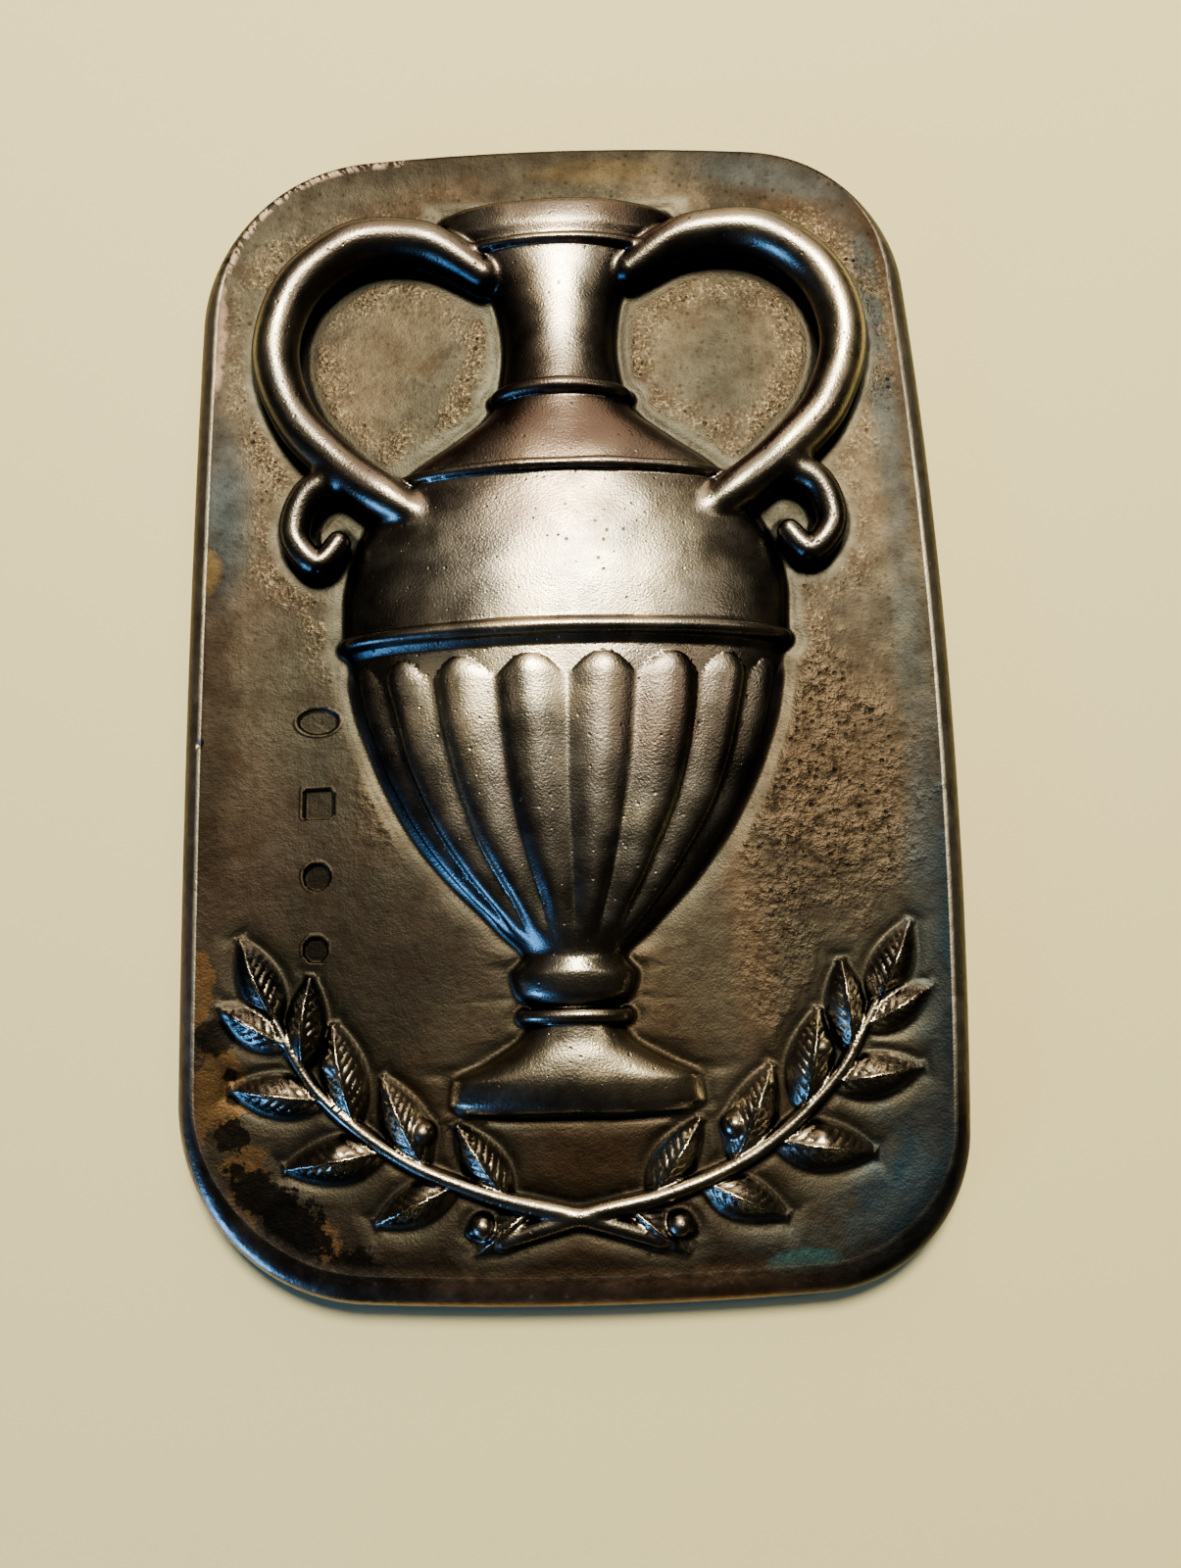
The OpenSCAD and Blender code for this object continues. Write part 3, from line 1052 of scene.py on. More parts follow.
class Skin:
    """The casting's skin as points, normals and triangles, in millimetres."""

    CORNERS = [(i, j, k) for i in (0, 1) for j in (0, 1) for k in (0, 1)]
    FIRST_ROUNDS = 3
    LATER_ROUNDS = 2
    LEAST_SLOPE = 0.1
    LONGEST_MOVE = 0.3

    def __init__(self, casting: Casting, step: float, floor: float, ceiling: float) -> None:
        """Draw the skin above a level.

        Args:
            casting: The forms.
            step: Spacing of the first samples.
            floor: Level of the lowest samples.
            ceiling: Level above every form.
        """
        self.casting = casting
        side, end = casting.plate.width / 2 + 2 * step, casting.plate.height / 2 + 2 * step
        self.axes = (
            np.arange(-side, side + step, step),
            np.arange(-end, end + step, step),
            np.arange(floor, ceiling + step, step),
        )
        values = casting.distance(Samples.lattice(*self.axes))
        self.points, self.triangles = self.net(values, step)
        self.settle(self.FIRST_ROUNDS)
        self.slopes = casting.slope(self.points)

    def net(self, values: Array, step: float) -> tuple[Array, Array]:
        """Join the cells that the skin passes through.

        Args:
            values: Distances at the lattice.
            step: Spacing of the lattice.

        Returns:
            Points and triangles, facing outwards.
        """
        inside = values < 0
        count = np.zeros(tuple(n - 1 for n in values.shape), np.int8)
        for i, j, k in self.CORNERS:
            count += inside[self.cells(values.shape, i, j, k)]
        crossed = np.argwhere((count > 0) & (count < 8))
        number = np.full(count.shape, -1, np.int64)
        number[tuple(crossed.T)] = np.arange(len(crossed))
        total = np.zeros((len(crossed), 3))
        weight = np.zeros((len(crossed), 1))
        for axis in range(3):
            for u in (0, 1):
                for v in (0, 1):
                    start = np.insert(np.array((u, v)), axis, 0)
                    stop = np.insert(np.array((u, v)), axis, 1)
                    a = values[tuple((crossed + start).T)]
                    b = values[tuple((crossed + stop).T)]
                    cut = (a < 0) != (b < 0)
                    t = np.where(cut, a / np.where(cut, a - b, 1.0), 0.0)[:, None]
                    total += cut[:, None] * (start + t * (stop - start))
                    weight += cut[:, None]
        origin = np.array([axis[0] for axis in self.axes])
        points = origin + (crossed + total / weight) * step
        quad = self.quads(inside, number)
        a, b, c, d = (points[quad[:, k]] for k in range(4))
        short = ((a - c) ** 2).sum(1) < ((b - d) ** 2).sum(1)
        first = np.where(short[:, None], quad[:, (0, 1, 2)], quad[:, (1, 2, 3)])
        second = np.where(short[:, None], quad[:, (0, 2, 3)], quad[:, (1, 3, 0)])
        return points, np.concatenate((first, second))

    @staticmethod
    def quads(inside: Array, number: Array) -> Array:
        """Face every lattice edge that the skin cuts with a quadrilateral.

        Args:
            inside: Whether each crossing of the lattice lies inside.
            number: Number of each cell's point.

        Returns:
            Rows of four point numbers, turned to face outwards.
        """
        quads = []
        for axis, (p, q) in enumerate(((1, 2), (2, 0), (0, 1))):
            ahead = np.take(inside, range(1, inside.shape[axis]), axis)
            behind = np.take(inside, range(inside.shape[axis] - 1), axis)
            at = np.argwhere(ahead != behind)
            at = at[(at[:, p] > 0) & (at[:, q] > 0)]
            at = at[(at[:, p] < inside.shape[p] - 1) & (at[:, q] < inside.shape[q] - 1)]
            leaving = behind[tuple(at.T)]
            ring = []
            for dp, dq in ((-1, -1), (0, -1), (0, 0), (-1, 0)):
                cell = at.copy()
                cell[:, p] += dp
                cell[:, q] += dq
                ring.append(number[tuple(cell.T)])
            quad = np.stack(ring, 1)
            quads.append(np.where(leaving[:, None], quad, quad[:, ::-1]))
        return np.concatenate(quads)

    @staticmethod
    def cells(shape: tuple, i: int, j: int, k: int) -> tuple[slice, slice, slice]:
        """The samples at one corner of every cell."""
        return tuple(slice(o, n - 1 + o) for o, n in zip((i, j, k), shape))

    def settle(self, rounds: int, first: int = 0) -> None:
        """Move points onto the skin.

        Args:
            rounds: How many times to step towards it.
            first: Number of the first point to move.
        """
        for _ in range(rounds):
            p = self.points[first:]
            slope = self.casting.slope(p)
            size = np.maximum((slope * slope).sum(1, keepdims=True), self.LEAST_SLOPE)
            move = self.casting.at_points(p)[:, None] * slope / size
            self.points[first:] = p - np.clip(move, -self.LONGEST_MOVE, self.LONGEST_MOVE)

    def normals(self) -> Array:
        """Outward directions at the points."""
        return self.slopes / np.linalg.norm(self.slopes, axis=1, keepdims=True)

    def refine(self, most: int, bend: float, shortest: float) -> None:
        """Halve the edges across which the skin bends.

        Args:
            most: Triangles that the skin may have.
            bend: Smallest change of direction to act on, in radians.
            shortest: Edges below this length stay.
        """
        tri = self.triangles
        n = len(self.points)
        pairs = np.sort(np.stack((tri, np.roll(tri, -1, 1)), 2), 2).reshape(-1, 2)
        keys, edge = np.unique(pairs[:, 0] * n + pairs[:, 1], return_inverse=True)
        edge = edge.reshape(-1, 3)
        a, b = keys // n, keys % n
        normal = self.normals()
        turn = np.arccos(np.clip((normal[a] * normal[b]).sum(1), -1, 1))
        length = np.linalg.norm(self.points[a] - self.points[b], axis=1)
        score = np.where(length > shortest, turn, 0.0)
        spare = (most - len(tri)) // 2
        limit = np.sort(score)[-min(spare, len(score))] if spare > 0 else np.inf
        split = score > max(bend, limit)
        middle = np.full(len(keys), -1)
        middle[split] = n + np.arange(split.sum())
        self.points = np.concatenate((self.points, 0.5 * (self.points[a] + self.points[b])[split]))
        marks = split[edge]
        code = marks @ np.array((1, 2, 4))
        # Which edges are halved, as a sum of 1, 2 and 4, and how far to turn the triangle for the pattern
        turned = {1: 0, 2: 1, 4: 2, 3: 0, 6: 1, 5: 2, 7: 0}
        out = [tri[code == 0]]
        for value, shift in turned.items():
            pick = code == value
            v = np.roll(tri[pick], -shift, 1)
            m = np.roll(middle[edge[pick]], -shift, 1)
            corners = {
                1: ((v[:, 0], m[:, 0], v[:, 2]), (m[:, 0], v[:, 1], v[:, 2])),
                2: (
                    (m[:, 0], v[:, 1], m[:, 1]),
                    (v[:, 0], m[:, 0], m[:, 1]),
                    (v[:, 0], m[:, 1], v[:, 2]),
                ),
                3: (
                    (v[:, 0], m[:, 0], m[:, 2]),
                    (m[:, 0], v[:, 1], m[:, 1]),
                    (m[:, 2], m[:, 1], v[:, 2]),
                    (m[:, 0], m[:, 1], m[:, 2]),
                ),
            }[bin(value).count("1")]
            out += [np.stack(three, 1) for three in corners]
        self.triangles = np.concatenate(out)
        self.settle(self.LATER_ROUNDS, n)
        self.slopes = np.concatenate((self.slopes, self.casting.slope(self.points[n:])))

    def rim(self) -> Array:
        """Follow the open lower edge round the plate.

        Returns:
            The numbers of its points, in order.
        """
        tri = self.triangles
        n = len(self.points)
        a, b = tri.ravel(), np.roll(tri, -1, 1).ravel()
        alone = ~np.isin(a * n + b, b * n + a)
        onward = dict(zip(a[alone].tolist(), b[alone].tolist()))
        loop = [next(iter(onward))]
        while onward[loop[-1]] != loop[0]:
            loop.append(onward[loop[-1]])
        return np.array(loop)


@dataclass(frozen=True)
class Measures:
    """What the finish reads at each point of the skin, in the order of the points."""

    relief: Array
    near: Array
    rise: Array
    inset: Array
    cavity: Array
    ridge: Array
    steep: Array
    mark: Array
    lean: Array


def add_object(name: str, data: bpy.types.ID) -> bpy.types.Object:
    """Put an object in the scene.

    Args:
        name: The object's name.
        data: The mesh, lamp or camera that it holds.

    Returns:
        The object.
    """
    made = bpy.data.objects.new(name, data)
    bpy.context.scene.collection.objects.link(made)
    return made


class Plaquette:
    """The one cast piece: its skin down to the flat back, and the measures kept on it."""

    NAME = "plaquette"
    STEP = 0.36
    CUT = 0.95
    CLEARANCE = 0.6
    MOST = 184000
    # Least bend in degrees and shortest edge in millimetres of each refinement
    REFINEMENTS = ((7, 0.2), (10, 0.12))
    WALL_RINGS = 6
    # Way across the plane that the flanks with plum film and a painted reflection face: up and to the left
    LEAN_WAY = np.array((-0.6, 0.8))
    RELIEF_FROM = 0.12
    RELIEF_RUN = 0.3
    # Reach of each look out of and into the metal, and its share
    REACHES = ((0.35, 0.3), (0.8, 0.35), (1.6, 0.35))
    INTO = 0.6

    def __init__(self) -> None:
        """Take the plate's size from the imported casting."""
        self.low, self.high = (np.array(corner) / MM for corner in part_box("medal"))
        self.plate = PlateForm(*(self.high - self.low)[:2])
        self.casting = Casting(self.plate)

    def build(self) -> bpy.types.Object:
        """Make the piece.

        Returns:
            The new object, with its normals and measures.
        """
        skin = Skin(self.casting, self.STEP, self.CUT, self.high[2] + self.CLEARANCE)
        log.info("%s: first skin of %d triangles", self.NAME, len(skin.triangles))
        for bend, shortest in self.REFINEMENTS:
            skin.refine(self.MOST, math.radians(bend), shortest)
            log.info("%s: refined to %d triangles", self.NAME, len(skin.triangles))
        return self.to_mesh(skin, self.measure(skin))

    def measure(self, skin: Skin) -> Measures:
        """Work out what the finish reads.

        Args:
            skin: The refined skin.

        Returns:
            The measures at its points.
        """
        points, normals = skin.points, skin.normals()
        at = Samples.loose(points)
        ground, relief = self.casting.parts(at)
        relief_share = smooth_step((ground - relief + self.RELIEF_FROM) / self.RELIEF_RUN)
        near = np.clip(self.casting.near.at(points[:, 0], points[:, 1]), -FAR, FAR)
        inset = self.casting.depth.at(points[:, 0], points[:, 1])
        roll = self.casting.roll.at(points[:, 0], points[:, 1])
        cavity = np.zeros(len(points))
        ridge = np.zeros(len(points))
        for reach, share in self.REACHES:
            out = self.casting.at_points(points + reach * normals)
            cavity += share * np.clip(1.0 - out / reach, 0.0, 1.0)
            under = self.casting.at_points(points - self.INTO * reach * normals)
            ridge += share * np.clip(1.0 + under / (self.INTO * reach), 0.0, 1.0)
        rise = points[:, 2] - self.plate.field_z
        steep = np.arccos(np.clip(normals[:, 2], -1, 1)) / (0.5 * math.pi)
        marks = [punch.outside(points[:, 0], points[:, 1]) for punch in self.casting.punches]
        mark = np.minimum(np.min(marks, axis=0), FAR)
        lean = normals[:, :2] @ self.LEAN_WAY
        return Measures(relief_share, near, rise, inset - roll, cavity, ridge, steep, mark, lean)

    def wall(self, skin: Skin, loop: Array) -> tuple[Array, Array, Array]:
        """Rings from the skin's open edge down the side wall and round to the back.

        Args:
            skin: The skin, whose lowest points are levelled here.
            loop: Its open edge.

        Returns:
            The added points, their normals and the added triangles.
        """
        start = skin.points[loop]
        out = skin.slopes[loop] * (1, 1, 0)
        out /= np.linalg.norm(out, axis=1, keepdims=True)
        n, first = len(loop), len(skin.points)
        rings, normals = [], []
        for k in range(self.WALL_RINGS + 1):
            a = 0.5 * math.pi * k / self.WALL_RINGS
            inset = self.plate.back_round * (1 - math.cos(a))
            ring = start - inset * out
            ring[:, 2] = self.plate.back_round * (1 - math.sin(a))
            rings.append(ring)
            normals.append(out * math.cos(a) - np.array((0, 0, math.sin(a))))
        rows = np.concatenate(([loop], first + np.arange(n * len(rings)).reshape(-1, n)))
        ahead = np.roll(rows, -1, 1)
        a, b, c, d = rows[:-1], ahead[:-1], ahead[1:], rows[1:]
        added = np.stack((np.stack((a, d, b), 2), np.stack((b, d, c), 2)), 2).reshape(-1, 3)
        return np.concatenate(rings), np.concatenate(normals), added

    def to_mesh(self, skin: Skin, measures: Measures) -> bpy.types.Object:
        """Write the skin, its wall and its flat back as a mesh.

        Args:
            skin: The refined skin.
            measures: What the finish reads at its points.

        Returns:
            The object.
        """
        loop = skin.rim()
        edge_points, edge_normals, edge_triangles = self.wall(skin, loop)
        points = np.clip(np.concatenate((skin.points, edge_points)), self.low, self.high)
        normals = np.concatenate((skin.normals(), edge_normals))
        triangles = np.concatenate((skin.triangles, edge_triangles))
        back = np.arange(len(points) - len(loop), len(points))[::-1]
        mesh = bpy.data.meshes.new(self.NAME)
        mesh.vertices.add(len(points))
        mesh.vertices.foreach_set("co", (points * MM).astype(np.float32).ravel())
        mesh.loops.add(triangles.size + len(back))
        mesh.loops.foreach_set("vertex_index", np.concatenate((triangles.ravel(), back)).astype(np.int32))
        mesh.polygons.add(len(triangles) + 1)
        starts = np.arange(len(triangles) + 1) * 3
        mesh.polygons.foreach_set("loop_start", starts.astype(np.int32))
        mesh.update(calc_edges=True)
        mesh.validate()
        mesh.normals_split_custom_set_from_vertices(normals.tolist())
        rings = len(edge_points) // len(loop)
        for name, values in vars(measures).items():
            last = values[loop] if name == "inset" else np.zeros(len(loop))
            whole = np.concatenate((values, np.tile(last, rings)))
            attribute = mesh.attributes.new(name, "FLOAT", "POINT")
            attribute.data.foreach_set("value", whole.astype(np.float32))
        piece = add_object(self.NAME, mesh)
        log.info("%s: %d points, %d faces", self.NAME, len(points), len(mesh.polygons))
        return piece


Socket = bpy.types.NodeSocket
Feed = Socket | float | tuple
Feeds = dict[str | int, Feed]


class Tint(Enum):
    """Colours of silver as its tarnish thickens, of the bare and burnt places on it, and of painted glints.
    """

    SILVER = (0.56, 0.53, 0.42)
    WORN = (0.40, 0.355, 0.262)
    GREY = (0.19, 0.178, 0.152)
    EDGE = (0.27, 0.225, 0.18)
    SHADE = (0.13, 0.114, 0.092)
    ASH = (0.24, 0.22, 0.19)
    BRONZE = (0.30, 0.20, 0.125)
    CHIP = (0.24, 0.185, 0.145)
    BLUSH = (0.115, 0.080, 0.064)
    # Lighter colour for painted glints on the grit's high points
    GLINT = (0.40, 0.33, 0.22)
    GROUND = (0.066, 0.055, 0.042)
    OLIVE = (0.064, 0.060, 0.045)
    HALO = (0.064, 0.064, 0.049)
    STRAW = (0.130, 0.102, 0.066)
    GOLD = (0.100, 0.070, 0.032)
    TAN = (0.10, 0.064, 0.032)
    COPPER = (0.130, 0.092, 0.058)
    RUSSET = (0.052, 0.030, 0.017)
    ROSE = (0.20, 0.150, 0.115)
    PLUM = (0.10, 0.038, 0.036)
    STEEL = (0.054, 0.062, 0.060)
    TEAL = (0.020, 0.046, 0.064)
    CYAN = (0.045, 0.105, 0.105)
    UMBER = (0.018, 0.0135, 0.0095)
    SOOT = (0.007, 0.007, 0.0065)

    @property
    def rgba(self) -> tuple[float, float, float, float]:
        """The colour with full alpha."""
        return (*self.value, 1.0)


class Wiring:
    """Adds nodes to a tree and joins their sockets."""

    def __init__(self, tree: bpy.types.NodeTree) -> None:
        """Keep the tree to write in."""
        self.tree = tree

    def add(self, kind: str, feeds: Feeds | None = None, **settings: object) -> bpy.types.Node:
        """Add a node.

        Args:
            kind: The node's type.
            feeds: What its inputs take, by name or number.
            settings: Its own options.

        Returns:
            The node.
        """
        node = self.tree.nodes.new(kind)
        for name, value in settings.items():
            setattr(node, name, value)
        for key, value in (feeds or {}).items():
            self.feed(node.inputs[key], value)
        return node

    def feed(self, socket: Socket, value: Feed) -> None:
        """Fill a socket.

        Args:
            socket: The input.
            value: Another socket to link to it, or its value.
        """
        if isinstance(value, Socket):
            self.tree.links.new(value, socket)
        else:
            socket.default_value = value

    def math(self, operation: str, a: Feed, b: Feed = 0.0) -> Socket:
        """Work out a number from one or two others."""
        return self.add("ShaderNodeMath", {0: a, 1: b}, operation=operation).outputs[0]

    def chain(self, operation: str, numbers: tuple[Feed, ...]) -> Feed:
        """Work through several numbers in order.

        Args:
            operation: What to do with each and what came before it.
            numbers: The numbers.

        Returns:
            The last result.
        """
        out = numbers[0]
        for number in numbers[1:]:
            out = self.math(operation, out, number)
        return out

    def product(self, *shares: Feed) -> Feed:
        """Multiply several numbers."""
        return self.chain("MULTIPLY", shares)

    def total(self, *parts: Feed) -> Feed:
        """Add several numbers."""
        return self.chain("ADD", parts)

    def rest(self, share: Feed) -> Socket:
        """What is left of one whole."""
        return self.math("SUBTRACT", 1.0, share)

    def swing(self, noise: Feed, amount: Feed) -> Socket:
        """Turn a noise from 0 to 1 into a shift to both sides of nil."""
        return self.math("MULTIPLY", self.math("SUBTRACT", noise, 0.5), amount)

    def vector(self, operation: str, a: Feed, b: Feed = (0.0, 0.0, 0.0)) -> Socket:
        """Work out a vector from one or two others."""
        return self.add("ShaderNodeVectorMath", {0: a, 1: b}, operation=operation).outputs[0]

    def scaled(self, place: Feed, amount: Feed) -> Socket:
        """Scale a vector by a number."""
        return self.add("ShaderNodeVectorMath", {0: place, "Scale": amount}, operation="SCALE").outputs[0]

    def turned(self, place: Feed, angle: Feed) -> Socket:
        """Turn a vector about the upright axis."""
        feeds = {"Vector": place, "Angle": angle}
        return self.add("ShaderNodeVectorRotate", feeds, rotation_type="Z_AXIS").outputs[0]

    def ease(self, value: Feed, low: Feed, high: Feed, bottom: Feed = 0.0, top: Feed = 1.0) -> Socket:
        """Ease from bottom to top as the value goes from low to high."""
        feeds = {"Value": value, 1: low, 2: high, 3: bottom, 4: top}
        return self.add("ShaderNodeMapRange", feeds, interpolation_type="SMOOTHSTEP").outputs[0]

    def blend(self, share: Feed, a: Feed, b: Feed) -> Socket:
        """Blend two colours.

        Args:
            share: Share of the second.
            a: The first colour.
            b: The second.

        Returns:
            The blended colour.
        """
        node = self.add("ShaderNodeMix", data_type="RGBA")
        for key, value in (("Factor_Float", share), ("A_Color", a), ("B_Color", b)):
            self.feed(next(s for s in node.inputs if s.identifier == key), value)
        return next(s for s in node.outputs if s.identifier == "Result_Color")

    def lay(self, colour: Feed, tint: Tint, *shares: Feed) -> Socket:
        """Lay a tint over a colour, by the product of the shares."""
        return self.blend(self.product(*shares), colour, tint.rgba)

    def noise(self, place: Feed, size: float, detail: float, rough: float) -> bpy.types.NodeOutputs:
        """Soft noise from 0 to 1 whose lumps are about size millimetres wide."""
        feeds = {"Vector": place, "Scale": 1.0 / size, "Detail": detail, "Roughness": rough}
        return self.add("ShaderNodeTexNoise", feeds).outputs

    def noises(self, place: Feed, size: float, detail: float, rough: float) -> list[Socket]:
        """Three soft noises that share a size."""
        colour = self.noise(place, size, detail, rough)["Color"]
        return list(self.add("ShaderNodeSeparateColor", {0: colour}).outputs)

    def measure(self, name: str) -> Socket:
        """A measure kept on the skin."""
        return self.add("ShaderNodeAttribute", attribute_name=name).outputs["Fac"]


class Effect:
    """A shader node group with named inputs and outputs, built once and placed where it is used."""

    NAME = "effect"
    INPUTS: tuple[tuple[str, str, object], ...] = ()
    OUTPUTS: tuple[tuple[str, str], ...] = ()

    def __init__(self) -> None:
        """Make the group."""
        self.tree = bpy.data.node_groups.new(self.NAME, "ShaderNodeTree")
        for name, kind, value in self.INPUTS:
            socket = self.tree.interface.new_socket(name, in_out="INPUT", socket_type=kind)
            socket.default_value = value
        for name, kind in self.OUTPUTS:
            self.tree.interface.new_socket(name, in_out="OUTPUT", socket_type=kind)
        wiring = Wiring(self.tree)
        source = wiring.add("NodeGroupInput").outputs
        sink = wiring.add("NodeGroupOutput").inputs
        for name, value in self.write(wiring, source).items():
            wiring.feed(sink[name], value)

    def write(self, w: Wiring, given: bpy.types.NodeOutputs) -> dict[str, Socket]:
        """Write the group's nodes.

        Args:
            w: The wiring of the group.
            given: The group's inputs.

        Returns:
            The group's outputs by name.
        """
        raise NotImplementedError

    def place(self, w: Wiring, **feeds: Feed) -> bpy.types.NodeOutputs:
        """Put the group in a material.

        Args:
            w: The wiring of the material.
            feeds: What the group's inputs take.

        Returns:
            The outputs of the placed group.
        """
        node = w.add("ShaderNodeGroup", node_tree=self.tree)
        for name, value in feeds.items():
            w.feed(node.inputs[name], value)
        return node.outputs


class StainMask(Effect):
    """An oval stain with a soft or a frayed border."""

    NAME = "stain_mask"
    INPUTS = (
        ("Place", "NodeSocketVector", (0.0, 0.0, 0.0)),
        ("Centre", "NodeSocketVector", (0.0, 0.0, 0.0)),
        ("Reach", "NodeSocketVector", (1.0, 1.0, 1.0)),
        ("Turn", "NodeSocketFloat", 0.0),
        ("Softness", "NodeSocketFloat", 0.5),
        ("Rag", "NodeSocketFloat", 0.5),
        ("Fray", "NodeSocketFloat", 0.3),
    )
    OUTPUTS = (("Mask", "NodeSocketFloat"),)

    def write(self, w: Wiring, given: bpy.types.NodeOutputs) -> dict[str, Socket]:
        """Measure how far each place lies from the middle, in shares of the reach.

        Args:
            w: The wiring of the group.
            given: The group's inputs.

        Returns:
            The group's mask by name.
        """
        away = w.vector("SUBTRACT", given["Place"], given["Centre"])
        back = w.math("MULTIPLY", given["Turn"], -1.0)
        share = w.vector("DIVIDE", w.turned(away, back), given["Reach"])
        far = w.add("ShaderNodeVectorMath", {0: share}, operation="LENGTH").outputs["Value"]
        rag = w.swing(given["Rag"], given["Fray"])
        high = w.math("ADD", 1.0, given["Softness"])
        low = w.math("SUBTRACT", 1.0, given["Softness"])
        return {"Mask": w.ease(w.math("ADD", far, rag), high, low)}


class CastPits(Effect):
    """Round pits left by bubbles in the casting, scattered at random."""

    NAME = "cast_pits"
    INPUTS = (
        ("Place", "NodeSocketVector", (0.0, 0.0, 0.0)),
        ("Gap", "NodeSocketFloat", 0.8),
        ("Share", "NodeSocketFloat", 0.5),
        ("Width", "NodeSocketFloat", 0.3),
    )
    OUTPUTS = (("Mask", "NodeSocketFloat"),)
    LEAST_WIDTH = 0.45
    SPREAD_WIDTH = 0.8
    FLAT_FLOOR = 0.2
    LEAST_DEPTH = 0.55
    SPREAD_DEPTH = 0.45

    def write(self, w: Wiring, given: bpy.types.NodeOutputs) -> dict[str, Socket]:
        """Keep a share of the cells and sink a bowl in the middle of each.

        Args:
            w: The wiring of the group.
            given: The group's inputs.

        Returns:
            The group's mask by name.
        """
        scaled = w.scaled(given["Place"], w.math("DIVIDE", 1.0, given["Gap"]))
        cells = w.add("ShaderNodeTexVoronoi", {"Vector": scaled, "Scale": 1.0, "Randomness": 1.0})
        parts = w.add("ShaderNodeSeparateColor", {0: cells.outputs["Color"]}).outputs
        chosen = w.math("LESS_THAN", parts[0], given["Share"])
        reach = w.math("DIVIDE", w.math("MULTIPLY", given["Width"], 0.5), given["Gap"])
        reach = w.product(reach, w.total(self.LEAST_WIDTH, w.product(parts[1], self.SPREAD_WIDTH)))
        bowl = w.ease(cells.outputs["Distance"], reach, w.product(reach, self.FLAT_FLOOR))
        depth = w.total(self.LEAST_DEPTH, w.product(parts[2], self.SPREAD_DEPTH))
        return {"Mask": w.product(bowl, chosen, depth)}


class PatchyMask(Effect):
    """A measure cut off at a level that wanders, for rubbed edges and for grime and painted shade in creases.
    """

    NAME = "patchy_mask"
    INPUTS = (
        ("Amount", "NodeSocketFloat", 0.0),
        ("Start", "NodeSocketFloat", 0.45),
        ("Full", "NodeSocketFloat", 0.7),
        ("Rag", "NodeSocketFloat", 0.5),
        ("Patchiness", "NodeSocketFloat", 0.3),
    )
    OUTPUTS = (("Mask", "NodeSocketFloat"),)

    def write(self, w: Wiring, given: bpy.types.NodeOutputs) -> dict[str, Socket]:
        """Shift the measure by the rag before it is cut off.

        Args:
            w: The wiring of the group.
            given: The group's inputs.

        Returns:
            The group's mask by name.
        """
        rag = w.swing(given["Rag"], given["Patchiness"])
        return {"Mask": w.ease(w.math("ADD", given["Amount"], rag), given["Start"], given["Full"])}


class FilmColour(Effect):
    """Colour of the sulphide film on silver, from bare metal to blue-black as it thickens."""

    NAME = "film_colour"
    INPUTS = (("Thickness", "NodeSocketFloat", 0.0),)
    OUTPUTS = (("Color", "NodeSocketColor"),)
    STOPS = (
        (0.0, Tint.SILVER),
        (0.3, Tint.WORN),
        (0.5, Tint.GREY),
        (0.68, Tint.SHADE),
        (0.82, Tint.STEEL),
        (1.0, Tint.SOOT),
    )

    def write(self, w: Wiring, given: bpy.types.NodeOutputs) -> dict[str, Socket]:
        """Read the colour off a ramp.

        Args:
            w: The wiring of the group.
            given: The group's inputs.

        Returns:
            The group's colour by name.
        """
        node = w.add("ShaderNodeValToRGB", {0: given["Thickness"]})
        ramp = node.color_ramp.elements
        ramp[0].position, ramp[0].color = self.STOPS[0][0], self.STOPS[0][1].rgba
        ramp[1].position, ramp[1].color = self.STOPS[-1][0], self.STOPS[-1][1].rgba
        for position, tint in self.STOPS[1:-1]:
            ramp.new(position).color = tint.rgba
        return {"Color": node.outputs["Color"]}


@dataclass(frozen=True)
class Stain:
    """One stain, or patch of painted shade, on the casting, placed in millimetres."""

    x: float
    y: float
    wide: float
    tall: float
    tint: Tint
    share: float
    turn: float = 0.0
    softness: float = 0.5
    fray: float = 1.2


